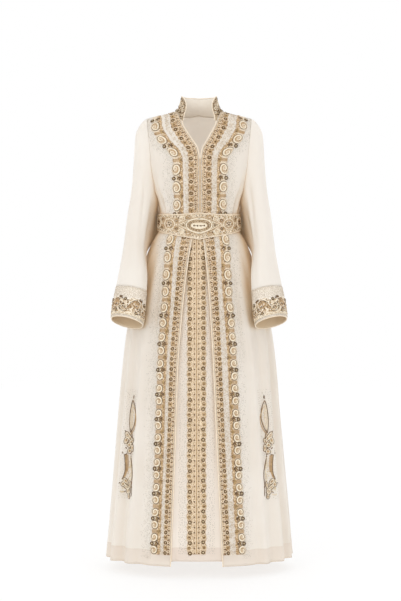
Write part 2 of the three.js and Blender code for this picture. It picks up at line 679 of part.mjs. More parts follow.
function sleevePoint(side, half, s, stop) {
  const at = (column) => read(SLEEVE, "s", s, column);
  const middle = sleeveMiddle(s, half);
  const outward = new THREE.Vector3(half * (at("outX") - at("inX")), 0, at("outZ") - at("inZ"));
  const wide = outward.length() / 2;
  outward.normalize();
  const cos = Math.cos(radians(stop.around));
  const sin = Math.sin(radians(stop.around));
  const point = middle.clone().addScaledVector(outward, wide * cos - at("turned") * sin);
  point.y -= sin * (sin > 0 ? at("front") : at("back"));
  point.z += at("lift") * sin;
  const inward = middle.clone().sub(point).normalize();
  point.addScaledVector(inward, creaseDepth(SLEEVE_CREASES[side], s, stop.around));
  const tuck = tuckShare(s, stop.around);
  point.x -= half * TUCK.inward * tuck;
  point.y += TUCK.backward * tuck;
  const blend = lerp(ARMHOLE_BLEND.underarm, ARMHOLE_BLEND.top, (1 + cos) / 2);
  return stop.point.clone().lerp(point, ease(s / blend));
}

// Cells for rows of points: each normal comes from the neighbours and faces away from its row's middle.
function cellsFrom(points, middles, ring) {
  const down = points.length - 1;
  return points.map((row, i) =>
    row.map((point, j) => {
      const count = row.length;
      const next = row[ring ? (j + 1) % count : Math.min(j + 1, count - 1)];
      const before = row[ring ? (j + count - 1) % count : Math.max(j - 1, 0)];
      const along = points[Math.min(i + 1, down)][j].clone().sub(points[Math.max(i - 1, 0)][j]);
      const normal = next.clone().sub(before).cross(along).normalize();
      if (normal.dot(point.clone().sub(middles[i])) < 0) normal.negate();
      return { point, normal };
    }),
  );
}

function sleeve(side, half) {
  const loop = armholeLoop(side, half);
  const rings = (shares) => shares.map((s) => loop.map((stop) => sleevePoint(side, half, s, stop)));
  const middles = (shares) => shares.map((s) => sleeveMiddle(s, half));
  const points = rings(SLEEVE_RINGS);
  // The first ring stands off the armhole's edge by the seam.
  points[0].forEach((point, k) => {
    point.addScaledVector(points[1][k].clone().sub(point).normalize(), 1.5 * SEAM);
    point.x += half * SEAM;
  });
  const rows = cellsFrom(points, middles(SLEEVE_RINGS), true);
  rows[0].forEach((here, k) => {
    // At the seam the cloth turns no further out than the body's does, so that the two walls stay apart.
    if (half * here.normal.x > half * loop[k].normal.x) here.normal = loop[k].normal;
  });
  piece(`sleeve_${side}`, "crepe", wall(rows, { ring: true }));

  const cuffRows = cellsFrom(rings(CUFF_RINGS), middles(CUFF_RINGS), true);
  const down = middles([1])[0].sub(middles([CUFF_SEAM])[0]).normalize();
  cuffRows[0].forEach(({ point }) => point.addScaledVector(down, SEAM));
  const proud = (CUFF_CLOTH - CLOTH) / 2;
  piece(`cuff_${side}`, "cuff", wall(cuffRows, { thick: CUFF_CLOTH, lift: proud, ring: true }));

  const edge = cuffRows[cuffRows.length - 1];
  const path = edge.map(({ point, normal }) =>
    point.clone().addScaledVector(normal, -CLOTH / 2).addScaledVector(down, PIPING + SEAM),
  );
  const acrosses = edge.map(({ normal }) => normal);
  piece(`cuff_piping_${side}`, "satin", cord(path, acrosses, PIPING, { ring: true }));
}

sleeve("left", 1);
sleeve("right", -1);

// ---- Collar -------------------------------------------------------------------------------------

// The seam that the collar stands on, from the wearer's left front corner round the back to the right one.
function neckSeam() {
  const frontEdge = (side) => fronts[side].slice(cornerRow).map((row) => row[0].point.clone());
  const backEdge = backRows[backRows.length - 1]
    .slice(BACK_SIDE_COLUMNS, BACK_SIDE_COLUMNS + BACK_NECK_COLUMNS + 1)
    .map(({ point }) => point);
  return [...frontEdge("left"), ...backEdge.slice(1, -1), ...frontEdge("right").reverse()];
}

function collarTop(share) {
  const mirrored = share > 1 ? 2 - share : share;
  const at = (column) => read(COLLAR_TOP, "share", mirrored, column);
  return new THREE.Vector3((share > 1 ? -1 : 1) * at("x"), at("y"), at("z"));
}

const directionAt = (path, j) =>
  path[Math.min(j + 1, path.length - 1)].clone().sub(path[Math.max(j - 1, 0)]).normalize();

const seamPoints = neckSeam().flatMap((point, i, all) =>
  i === 0 ? [point] : [midpoint(all[i - 1], point), point],
);
// The collar's own corners stand just clear of the ends of the edge piping.
seamPoints[0].lerp(seamPoints[1], CORNER_CLEAR);
seamPoints[seamPoints.length - 1].lerp(seamPoints[seamPoints.length - 2], CORNER_CLEAR);
const seamRun = [0];
seamPoints.slice(1).forEach((point, i) => seamRun.push(seamRun[i] + point.distanceTo(seamPoints[i])));
const seamLength = seamRun[seamRun.length - 1];

const collarPoints = [];
for (let i = 0; i <= COLLAR_ROWS; i += 1) {
  const rise = i / COLLAR_ROWS;
  collarPoints.push(
    seamPoints.map((base, j) => {
      const top = collarTop((2 * seamRun[j]) / seamLength);
      const along = directionAt(seamPoints, j);
      const up = top.clone().sub(base);
      const across = up.addScaledVector(along, -up.dot(along)).normalize();
      const foot = base.clone().addScaledVector(across, 1.5 * SEAM);
      const point = foot.lerp(top, rise);
      const inward = new THREE.Vector3(-point.x, -point.y, 0).normalize();
      const stand = Math.min(1, top.distanceTo(base) / COLLAR_STAND);
      return point.addScaledVector(inward, COLLAR_HOLLOW * stand * Math.sin(Math.PI * rise));
    }),
  );
}
const collarRows = cellsFrom(collarPoints, collarPoints.map(() => NECK_MIDDLE), false);
piece("collar", "crepe", wall(collarRows, { thick: COLLAR_CLOTH }));

const collarEdge = collarRows[COLLAR_ROWS];
const collarTops = collarEdge.map(({ point }) => point);
// Away from the collar, square to its upper edge and in line with the cloth.
const collarAway = collarEdge.map(({ point, normal }, j) => {
  const away = directionAt(collarTops, j).cross(normal).normalize();
  return away.dot(collarPoints[COLLAR_ROWS - 1][j].clone().sub(point)) > 0 ? away.negate() : away;
});
const collarPipingPath = collarEdge.map(({ point, normal }, j) =>
  point.clone().addScaledVector(normal, -COLLAR_CLOTH / 2).addScaledVector(collarAway[j], PIPING + SEAM),
);
piece("collar_piping", "satin", cord(collarPipingPath, collarAway, PIPING));

// ---- Belt ---------------------------------------------------------------------------------------

const beltLevel = (turn, share) =>
  lerp(read(BELT, "turn", Math.abs(turn), "bottom"), read(BELT, "turn", Math.abs(turn), "top"), share);
const beltSurface = (level, turn) => robe(level, turn, { folded: false, out: BELT_EASE + BELT_CLOTH });

const beltTurns = [];
for (let j = 0; j < BELT_COLUMNS; j += 1) {
  const turn = 360 * (j / BELT_COLUMNS - 0.5);
  beltTurns.push(turn - BELT_CROWDING * degrees(Math.sin(radians(turn))));
}

const beltRows = [];
for (let i = 0; i <= BELT_ROWS; i += 1) {
  beltRows.push(beltTurns.map((turn) => cell(beltSurface, beltLevel(turn, i / BELT_ROWS), turn)));
}
piece("belt", "belt", wall(beltRows, { thick: BELT_CLOTH, ring: true }));

for (const [edge, row, way] of [["top", BELT_ROWS, 1], ["bottom", 0, -1]]) {
  const path = beltRows[row].map(({ point, normal }) => {
    const out = point.clone().addScaledVector(normal, -BELT_CLOTH / 2);
    out.z += way * (BELT_PIPING + SEAM);
    return out;
  });
  const acrosses = beltRows[row].map(({ normal }) => normal);
  piece(`belt_piping_${edge}`, "satin", cord(path, acrosses, BELT_PIPING, { ring: true }));
}

const medallionRows = [];
for (let i = 0; i <= MEDALLION_ROWS; i += 1) {
  const rise = (2 * i) / MEDALLION_ROWS - 1;
  const row = [];
  for (let j = 0; j <= MEDALLION_COLUMNS; j += 1) {
    const across = (2 * j) / MEDALLION_COLUMNS - 1;
    const tall = MEDALLION.halfTall * (1 - (1 - MEDALLION.blunt) * Math.abs(across) ** MEDALLION.power);
    row.push(cell(beltSurface, MEDALLION.level + rise * tall, across * MEDALLION.halfTurn));
  }
  medallionRows.push(row);
}
piece(
  "belt_medallion",
  "medallion",
  wall(medallionRows, { thick: MEDALLION.thick, lift: MEDALLION.lift + MEDALLION.thick }),
);

// ---- Under-panel --------------------------------------------------------------------------------

function underSurface(level, turn) {
  const hung = lerp(UNDER_SEAM_EASE, UNDER_EASE, ease((UNDER_TOP - level) / UNDER_FALL));
  return robe(level, turn, { folded: false, out: -hung, folds: UNDER_FOLDS });
}

const underRows = UNDER_LEVELS.map((level) => {
  const edge = (half) => turnAt(level, innerEdge(level, half) + half * UNDER_OVERLAP);
  const strip = (half) => turnAt(level, UNDER_MIDDLE + half * UNDER_STRIP);
  const turns = [];
  for (let j = 0; j < UNDER_SIDE_COLUMNS; j += 1) {
    turns.push(lerp(edge(-1), strip(-1), j / UNDER_SIDE_COLUMNS));
  }
  for (let j = 0; j < UNDER_STRIP_COLUMNS; j += 1) {
    turns.push(lerp(strip(-1), strip(1), j / UNDER_STRIP_COLUMNS));
  }
  for (let j = 0; j <= UNDER_SIDE_COLUMNS; j += 1) {
    turns.push(lerp(strip(1), edge(1), j / UNDER_SIDE_COLUMNS));
  }
  return turns.map((turn) => cell(underSurface, level, turn));
});
piece("under_panel", "underCrepe", wall(underRows));
const underStrip = underRows
  .slice(1, -1)
  .map((row) => row.slice(UNDER_SIDE_COLUMNS, UNDER_SIDE_COLUMNS + UNDER_STRIP_COLUMNS + 1));
piece("under_strip", "scroll", wall(underStrip, { thick: STITCHED, lift: SEAM + STITCHED }));

// ---- Motifs on the sides of the skirt -----------------------------------------------------------

for (const side of ["left", "right"]) {
  const rows = MOTIF_LEVELS.map((level) =>
    fronts[side][FRONT_LEVELS.indexOf(level)].slice(MOTIF_COLUMNS[0], MOTIF_COLUMNS[1] + 1),
  );
  piece(`skirt_motif_${side}`, "flower", wall(rows, { thick: STITCHED, lift: SEAM + STITCHED }));
}

export default kaftan;
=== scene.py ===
# %% [markdown]
# # A ceremonial kaftan, worn and filled out
# The garment is an open-fronted robe of ivory crepe over a narrow front under-panel. Satin piping edges every
# opening, and bands of couched cord, rosettes and sequins run down both fronts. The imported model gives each
# piece its place. This lesson dresses every piece with finer cloth and with the real embroidery.

import math

import bpy
import numpy as np
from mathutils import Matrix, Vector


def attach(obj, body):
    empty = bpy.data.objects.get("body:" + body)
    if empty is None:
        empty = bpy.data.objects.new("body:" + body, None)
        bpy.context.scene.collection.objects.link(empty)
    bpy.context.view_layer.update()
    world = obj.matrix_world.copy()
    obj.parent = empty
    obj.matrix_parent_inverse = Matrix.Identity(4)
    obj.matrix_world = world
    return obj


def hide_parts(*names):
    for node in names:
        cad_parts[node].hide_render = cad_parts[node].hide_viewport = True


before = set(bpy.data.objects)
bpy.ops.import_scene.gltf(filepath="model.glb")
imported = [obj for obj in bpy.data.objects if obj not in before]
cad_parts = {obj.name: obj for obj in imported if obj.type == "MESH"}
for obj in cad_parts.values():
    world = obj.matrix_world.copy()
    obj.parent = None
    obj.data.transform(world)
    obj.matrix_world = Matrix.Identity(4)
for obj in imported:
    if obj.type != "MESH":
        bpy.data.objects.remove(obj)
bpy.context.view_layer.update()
MM = 0.001

# %% [markdown]
# ## Camera, floor and light
# A long garment is looked at from a few metres away and from half its height, with a long lens, so that
# neither the collar nor the hem is drawn out. Big soft lights and a white surround give cloth its gentle
# shading: hard light would make every small fold a black line.

# %% Camera, floor and light
CAMERA_PLACE = (0.0045, -4.3, -0.619)
LENS = 78.05  # millimetres, on a sensor 36 mm along its longer side
FLOOR = -1.502
WHITE = (1.0, 1.0, 1.0)
FLOOR_GLOW = 0.68  # the floor gives off a little light of its own, so that it stays pale
LOOKED_AT = (0, 0, -0.75)


def linked(name, data):
    """A new object in the scene."""
    item = bpy.data.objects.new(name, data)
    bpy.context.collection.objects.link(item)
    return item


def adding_to(tree):
    """Two helpers for a node tree. `add` makes a node and `fill` sets one. A keyword names an input, with _
    for a space, or else a setting. A value that is another node's output is joined to the input."""

    def put(socket, value):
        if isinstance(value, bpy.types.NodeSocket):
            tree.links.new(value, socket)
        else:
            socket.default_value = value

    def fill(node, **named):
        for key, value in named.items():
            label = key.replace("_", " ")
            if label in node.inputs:
                put(node.inputs[label], value)
            else:
                setattr(node, key, value)
        return node

    def add(kind, *values, **named):
        node = fill(tree.nodes.new(kind), **named)
        for socket, value in zip(node.inputs, values):
            put(socket, value)
        return node

    return add, fill


def node_material(name):
    """An empty material with its shader and the two helpers for its tree."""
    material = bpy.data.materials.new(name)
    material.use_nodes = True
    return material, material.node_tree.nodes["Principled BSDF"], *adding_to(material.node_tree)


def studio_floor():
    bpy.ops.mesh.primitive_grid_add(x_subdivisions=4, y_subdivisions=4, size=14, location=(0, 2, FLOOR))
    floor = bpy.context.object
    floor.name = "studio_floor"
    material, shader, add, fill = node_material("studio floor")
    speckle = add("ShaderNodeTexNoise", Scale=3.0).outputs["Fac"]
    shade = add("ShaderNodeMapRange", To_Min=0.30, To_Max=0.32, Value=speckle).outputs["Result"]
    fill(shader, Base_Color=shade, Emission_Color=(*WHITE, 1), Emission_Strength=FLOOR_GLOW)
    fill(shader, Roughness=0.9, Specular_IOR_Level=0.1)
    floor.data.materials.append(material)


def soft_light(name, place, power, size, colour=WHITE):
    data = bpy.data.lights.new(name, "AREA")
    data.shape = "SQUARE"
    data.size, data.energy, data.color = size, power, colour
    light = linked(name, data)
    light.location = place
    light.rotation_euler = (Vector(LOOKED_AT) - light.location).to_track_quat("-Z", "Y").to_euler()


camera = linked("camera", bpy.data.cameras.new("camera"))
camera.data.lens = LENS
camera.data.sensor_width = 36
camera.location = CAMERA_PLACE
camera.rotation_euler = (math.radians(90), 0, 0)
bpy.context.scene.camera = camera
bpy.context.scene.view_settings.view_transform = "Standard"

world = bpy.data.worlds.new("white surround")
world.use_nodes = True
world.node_tree.nodes["Background"].inputs["Color"].default_value = (*WHITE, 1)
world.node_tree.nodes["Background"].inputs["Strength"].default_value = 1.0
bpy.context.scene.world = world

studio_floor()
soft_light("key light", (-2.2, -3.9, 1.3), 28, 2.0, (1.0, 0.985, 0.96))
soft_light("fill light", (2.6, -3.8, 0.2), 14, 2.4)
print("camera", CAMERA_PLACE, "floor", FLOOR)

# %% [markdown]
# ## Reading tables
# A garment's form is best kept as a short table of sections, as a pattern cutter keeps measurements at
# bust, waist, hip and hem. A smooth curve is run through each column. It is a monotone cubic, which never
# swings past its rows, so no bulge appears that the table doesn't hold.

# %% Reading tables


def curve(places, values):
    """A smooth curve through a table's rows that never overshoots them."""
    places, values = np.array(places, float), np.array(values, float)
    slope = np.diff(values) / np.diff(places)
    bend = np.empty(len(places))
    bend[0], bend[-1] = slope[0], slope[-1]
    same = slope[:-1] * slope[1:] > 0
    total = np.where(same, slope[:-1] + slope[1:], 1)
    bend[1:-1] = np.where(same, 2 * slope[:-1] * slope[1:] / total, 0)

    def at(place):
        place = np.clip(place, places[0], places[-1])
        i = np.clip(np.searchsorted(places, place) - 1, 0, len(places) - 2)
        span = places[i + 1] - places[i]
        t = (place - places[i]) / span
        t2, t3 = t * t, t * t * t
        return (
            values[i] * (2 * t3 - 3 * t2 + 1)
            + bend[i] * span * (t3 - 2 * t2 + t)
            + values[i + 1] * (3 * t2 - 2 * t3)
            + bend[i + 1] * span * (t3 - t2)
        )

    return at


def table(names, rows):
    """A dictionary of curves, one for each column, by the first column."""
    rows = np.array(rows, float)
    return {name: curve(rows[:, 0], rows[:, k + 1]) for k, name in enumerate(names.split())}


def ease(t):
    s = np.clip(t, 0, 1)
    return s * s * (3 - 2 * s)


def mix(a, b, t):
    return a + (b - a) * t


def unit(v):
    return v / np.maximum(np.linalg.norm(v, axis=-1, keepdims=True), 1e-12)


def pairs(a, s):
    """A path from its places across and along."""
    return np.stack([a, s], axis=1)


# %% [markdown]
# ## The body of the robe
# The worn robe is a stack of rounded sections, in millimetres from the middle of the shoulder line. Each
# section is a superellipse, which is a little squarer than an ellipse, as a chest is. The skirt falls in
# about sixteen deep folds that start under the belt, where the width is drawn in, and grow to the hem.

# %% The robe's sections
HEM, UNDERARM, SHOULDER, TIP_X, NECK_X = -1462, -305, -19, 172, 82
CLOTH = 1.2
SEAM = 0.3
PIPING = 1.4
CLOSING_X, CLOSING_FOOT, V_BOTTOM, CORNER, CORNER_X = 3, -345, -160, -36, 58
EDGE_SET = 2 * PIPING + 1.5 * SEAM
BODY = table("wide front back side tilt square", [(HEM, 300, 205, 196, 22, 0, 2.05),
    (-1110, 268, 180, 176, 22, 0, 2.05), (-815, 247, 160, 156, 20, 0, 2.0),
    (-716, 236, 150, 148, 19, 0, 1.95), (-620, 217, 138, 137, 17, 0, 1.95),
    (-520, 189, 121, 124, 13, 0, 2.05), (-455, 167, 110, 111, 9, 0, 2.15), (-420, 151, 102, 98, 6, 0, 2.2),
    (-385, 132, 93, 81, 4, 0, 2.25), (-345, 128, 89, 74, 3, 0, 2.25), (UNDERARM, 133, 93, 77, 3, 1, 2.3),
    (-247, 157, 105, 87, 2, 4, 2.35), (-180, 177, 107, 95, 1, 12, 2.35), (-110, 186, 98, 96, 0, 28, 2.3),
    (-66, 187, 82, 83, 0, 38, 2.25), (-42, 186, 62, 65, 0, 41, 2.2), (-27, 183, 37, 40, 0, 42, 2.1),
    (SHOULDER, 178, SEAM / 2, SEAM / 2, 0, 42, 2.0)])
ARMHOLE = table("front back", [(UNDERARM, 133, 133), (-290, 136, 136), (-247, 146, 146), (-180, 157, 156),
    (-110, 163, 162), (-66, 167, 167), (-27, 171, 171), (SHOULDER, TIP_X, TIP_X)])
NECKLINE = table("x", [(V_BOTTOM, 3.4), (-128, 9), (-112, 18), (-93, 30), (-72, 42), (-52, 53),
    (CORNER, CORNER_X)] + [(-20, 63), (-8, 70), (3, NECK_X)])["x"]
OPENING = table("right left", [(HEM, -92, 77), (-1110, -79, 60), (-815, -69, 47), (-620, -53, 36),
    (-520, -41, 27), (-430, -27, 17), (-385, -14, 10),
    (CLOSING_FOOT, CLOSING_X - EDGE_SET, CLOSING_X + EDGE_SET)])
# Each fold: its turn round the body in degrees, half breadth, depth, the level where it starts, the level
# where it is deepest, and for the bodice's the level where it ends.
SKIRT_FOLDS = [(45, 8, 15, -402, -1250), (61, 9, 22, -394, -1330), (79, 9, 19, -388, -1150),
    (97, 9, 24, -386, -1350), (115, 10, 20, -386, -1200), (134, 9, 26, -386, -1330),
    (152, 9, 21, -386, -1240), (170, 9, 25, -386, -1380), (-48, 9, 17, -400, -1200),
    (-66, 9, 23, -390, -1320), (-83, 9, 18, -388, -1180), (-101, 9, 25, -386, -1340),
    (-119, 10, 20, -386, -1260), (-138, 9, 26, -386, -1350), (-155, 9, 19, -386, -1200),
    (-172, 8, 23, -386, -1300)]
BODICE_FOLDS = [(52, 9, 4, -205, -300, -350), (68, 8, 5, -240, -308, -352), (118, 11, 5, -215, -305, -352),
    (146, 11, 6, -190, -300, -352), (-50, 8, 5, -215, -302, -350), (-66, 9, 4, -235, -306, -352),
    (-121, 11, 6, -205, -300, -352), (-150, 11, 5, -185, -305, -352)]
FOLD_GROWTH = 0.7
DRAWN_IN_DEEP, DRAWN_IN_TOP, DRAWN_IN_FULL = 8.4, -390, -1290
BANDS_TURN, CLEAR_TURN = 30, 42  # the embroidered bands keep the front smooth up to the first of these


def fold_depth(folds, level, turn):
    """How far a table of folds pushes the cloth out."""
    total = np.zeros(np.broadcast(level, turn).shape)
    for middle, half, deep, top, full, *end in folds:
        across = np.minimum(np.abs(turn - middle) / half, 1)
        grown = ease((top - level) / (top - full)) ** FOLD_GROWTH
        if end:
            grown = grown * (1 - ease((full - level) / (full - end[0])))
        total += deep * grown * np.cos(across * np.pi / 2) ** 2
    return total


# %% [markdown]
# ## Small creases
# Between its main folds real crepe is never quite even. A few waves of different widths, whose places are
# drawn once from a fixed seed, stand for that: long and upright on the skirt, shorter where the belt
# gathers the bodice. They fade out under the embroidered bands, which are stiff with thread.

# %% Small creases
CREASE_SEED = 11


def waves(seed, count, narrow, wide, lean):
    """Waves across a sheet as (times round, lean along it, phase, share), drawn from a fixed seed."""
    draw = np.random.default_rng(seed)
    across = draw.uniform(narrow, wide, count)
    slant = draw.uniform(-lean, lean, count)
    phase = draw.uniform(0, 2 * np.pi, count)
    share = draw.uniform(0.5, 1, count)
    return np.stack([across, slant, phase, share / share.sum()], axis=1)


def rippled(wave_rows, u, v):
    """The sum of the waves at u (in turns) and v (in metres), from about -1 to 1."""
    total = 0
    for across, slant, phase, share in wave_rows:
        total = total + share * np.sin(2 * np.pi * (across * u + slant * v) + phase)
    return total


SKIRT_WAVES = waves(CREASE_SEED, 7, 14, 46, 1.6)
BODICE_WAVES = waves(CREASE_SEED + 1, 7, 16, 52, 3.0)
SKIRT_CREASE, WAIST_CREASE, CHEST_CREASE = 4.4, 1.5, 0.9


def small_creases(level, turn):
    plain = 0.12 + 0.88 * ease((np.abs(turn) - BANDS_TURN) / (CLEAR_TURN - BANDS_TURN))
    skirt = SKIRT_CREASE * ease((-395 - level) / 500) * rippled(SKIRT_WAVES, turn / 360, level / 1000)
    near_waist = ease((level + 350) / 20) * (1 - ease((level + 330) / 150))
    bodice = (WAIST_CREASE * near_waist + CHEST_CREASE * ease((level + 340) / 40)) * (
        1 - ease((level + 90) / 50)
    )
    return plain * (skirt + bodice * rippled(BODICE_WAVES, turn / 360, level / 1000))


def robe(level, turn, folded=True, out=0.0, folds=None):
    """Points of the robe's outside, or of the smooth form that it is laid on."""
    level, turn = np.broadcast_arrays(np.asarray(level, float), np.asarray(turn, float))
    turn = np.where(turn > 180, turn - 360, turn)
    wide, square = BODY["wide"](level), BODY["square"](level)
    a = np.radians(np.abs(turn))
    ahead = np.cos(a) >= 0
    deep = np.where(ahead, BODY["front"](level), BODY["back"](level))
    sx = np.abs(np.sin(a)) ** (2 / square)
    sy = np.abs(np.cos(a)) ** (2 / square)
    normal_x = sx ** (square - 1) / wide
    normal_y = sy ** (square - 1) / deep
    long = np.hypot(normal_x, normal_y)
    push = out + np.zeros(level.shape)
    if folded:
        clear = ease((np.abs(turn) - BANDS_TURN) / (CLEAR_TURN - BANDS_TURN))
        grown = ease((DRAWN_IN_TOP - level) / (DRAWN_IN_TOP - DRAWN_IN_FULL)) ** FOLD_GROWTH
        push = push + fold_depth(SKIRT_FOLDS, level, turn) + fold_depth(BODICE_FOLDS, level, turn)
        push = push - DRAWN_IN_DEEP * grown * clear + small_creases(level, turn)
    if folds:
        push = push + fold_depth(folds, level, turn)
    x = wide * sx + normal_x / long * push
    y = deep * sy + normal_y / long * push
    side = BODY["side"](level)
    return np.stack([np.where(turn < 0, -x, x), np.where(ahead, side - y, side + y),
        level + BODY["tilt"](level) * (1 - x / TIP_X)], axis=-1)


def turn_at(level, x):
    """The turn at which a section is x wide."""
    share = np.clip(np.abs(x) / BODY["wide"](level), 0, 1)
    turn = np.degrees(np.arcsin(share ** (BODY["square"](level) / 2)))
    return np.where(np.asarray(x) < 0, -turn, turn)


def inner_edge(level, half):
    """The x of a front's inner edge: its open edge, the closing, or the neckline."""
    tilt = BODY["tilt"](level)
    if level + tilt > V_BOTTOM:
        x = NECK_X / 2
        for _ in range(40):
            z = max(level + tilt * (1 - x / TIP_X), V_BOTTOM)
            x = (x + NECKLINE(z)) / 2
        return half * x + CLOSING_X * ease(1 - x / CORNER_X)
    if level > CLOSING_FOOT:
        return CLOSING_X + half * EDGE_SET
    return OPENING["left" if half > 0 else "right"](level)


def outer_turn(level, half, panel):
    """The turn of a panel's outer edge: the armhole above the underarm, the side seam below it."""
    if level <= UNDERARM:
        seam = np.degrees((SEAM / 2 / BODY[panel](level)) ** (BODY["square"](level) / 2))
        return half * (90 - seam if panel == "front" else 90 + seam)
    turn = abs(turn_at(level, ARMHOLE[panel](level)))
    return half * (turn if panel == "front" else 180 - turn)


# %% [markdown]
# ## Sheets as rows of points
# Every piece of cloth here is a grid: rows down the piece, and columns set out evenly by the distance over
# the cloth, as a tape measure would. Keeping the tape distances lets the embroidery be laid out in plain
# millimetres later, like a paper pattern pinned on the finished cloth.

# %% Sheets as rows of points
MEASURING_STEPS = 240


class Sheet:
    """A grid of points on a sheet's outside, with the tape length of each row and a value for each row."""

    def __init__(self, points, values, ring=False, middle=None):
        self.points = points
        self.values = np.asarray(values, float)
        self.ring = ring
        steps = np.linalg.norm(np.diff(points, axis=1), axis=-1)
        self.lengths = steps.sum(axis=1)
        self.normals = grid_normals(points, ring, middle)

    def rows_at(self, v):
        """The row below each value v, and the share of the way to the next row."""
        i = np.clip(np.searchsorted(self.values, v) - 1, 0, len(self.values) - 2)
        return i, np.clip((v - self.values[i]) / (self.values[i + 1] - self.values[i]), 0, 1)[..., None]

    def at(self, u, v):
        """Points at tape distances u along the rows whose values are v."""
        u, v = np.broadcast_arrays(np.asarray(u, float), np.asarray(v, float))
        i, t = self.rows_at(v)
        return mix(self.along(i, u), self.along(i + 1, u), t)

    def at_share(self, share, v):
        """Points at shares of the way along the rows whose values are v."""
        share, v = np.broadcast_arrays(np.asarray(share, float), np.asarray(v, float))
        i, t = self.rows_at(v)
        return mix(self.along(i, share * self.lengths[i]), self.along(i + 1, share * self.lengths[i + 1]), t)

    def along(self, i, u):
        last = self.points.shape[1] - 1
        place = u / self.lengths[i] * last
        place = place % last if self.ring else np.clip(place, 0, last)
        j = np.minimum(place.astype(int), last - 1)
        share = (place - j)[..., None]
        return mix(self.points[i, j], self.points[i, j + 1], share)


def grid_normals(points, ring=False, middle=None):
    """Outward normals of a grid of points, which face away from a middle where one is given."""
    if ring:
        wide = np.concatenate([points[:, -2:-1], points, points[:, 1:2]], axis=1)
        across = wide[:, 2:] - wide[:, :-2]
    else:
        across = np.gradient(points, axis=1)
    normals = unit(np.cross(across, np.gradient(points, axis=0)))
    if middle is not None:
        away = np.sum(normals * (points - middle), axis=-1, keepdims=True)
        normals = np.where(away < 0, -normals, normals)
    return normals


def tape_row(line, count):
    """The points of a line at even distances along it."""
    run = np.concatenate([[0], np.cumsum(np.linalg.norm(np.diff(line, axis=0), axis=1))])
    places = np.linspace(0, run[-1], count)
    return np.stack([np.interp(places, run, line[:, k]) for k in range(3)], axis=1)


def between(levels, spacing):
    """The levels with more put in between, so that none are further apart than the spacing."""
    out = []
    for low, high in zip(levels[:-1], levels[1:]):
        out.extend(np.linspace(low, high, max(2, int(math.ceil((high - low) / spacing)) + 1))[:-1])
    return np.array(out + [levels[-1]])


SKIRT_LEVELS = [HEM, -1426, -1260, -1080, -905, -745, -615, -520, -460, -420, -385, -345]
ARMHOLE_LEVELS = [UNDERARM, -296, -273, -240, -200, -160, -120, -88, -62, -42, -28, SHOULDER]
LEVELS = np.concatenate([between(SKIRT_LEVELS + [UNDERARM], 9.5)[:-1], between(ARMHOLE_LEVELS, 5.5)])
FRONT_COLUMNS = 84


def front_sheet(half):
    rows = []
    for level in LEVELS:
        start = turn_at(level, inner_edge(level, half))
        stop = outer_turn(level, half, "front")
        line = robe(level, np.linspace(start, stop, MEASURING_STEPS))
        rows.append(tape_row(line, FRONT_COLUMNS))
    sheet = Sheet(np.array(rows), LEVELS)
    sheet.normals *= half
    sheet.normals[-1, :, 1] = 0
    sheet.normals[-1] = unit(sheet.normals[-1])
    return sheet


FRONTS = {"left": front_sheet(1), "right": front_sheet(-1)}
HALVES = {"left": 1, "right": -1}
for side, sheet in FRONTS.items():
    print("front", side, sheet.points.shape, "hem", round(sheet.lengths[0]), "mm of tape")

# %% [markdown]
# ## From a sheet to closed cloth
# Cloth has two faces and an edge all round, however thin it is. The outside grid and a copy of it a
# millimetre further in are joined at their rims, so that each piece is a closed shell. The tape distances
# are kept in metres as a UV map, so that a weave drawn on them is the same size everywhere on the garment.

# %% From a sheet to closed cloth
ROOT = "root"


def finished(piece, material, replaces=()):
    """Gives a piece its finish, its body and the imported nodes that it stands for."""
    piece.data.materials.clear()
    piece.data.materials.append(material)
    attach(piece, ROOT)
    if replaces:
        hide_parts(*replaces)
    return piece


def mesh_object(name, points, faces=(), edges=()):
    """An object with a plain mesh, from points in millimetres."""
    mesh = bpy.data.meshes.new(name)
    mesh.from_pydata((np.asarray(points, float) * MM).tolist(), edges, faces)
    return linked(name, mesh)


def new_mesh(name, points, faces, tape=None, smooth=True):
    """A plain mesh with its tape distances as the UV map."""
    piece = mesh_object(name, points, np.asarray(faces).tolist())
    mesh = piece.data
    if tape is not None:
        layer = mesh.uv_layers.new(name="tape")
        corners = np.empty(len(mesh.loops), int)
        mesh.loops.foreach_get("vertex_index", corners)
        layer.data.foreach_set("uv", (np.asarray(tape)[corners] * MM).ravel())
    mesh.polygons.foreach_set("use_smooth", [smooth] * len(mesh.polygons))
    mesh.update()
    return piece


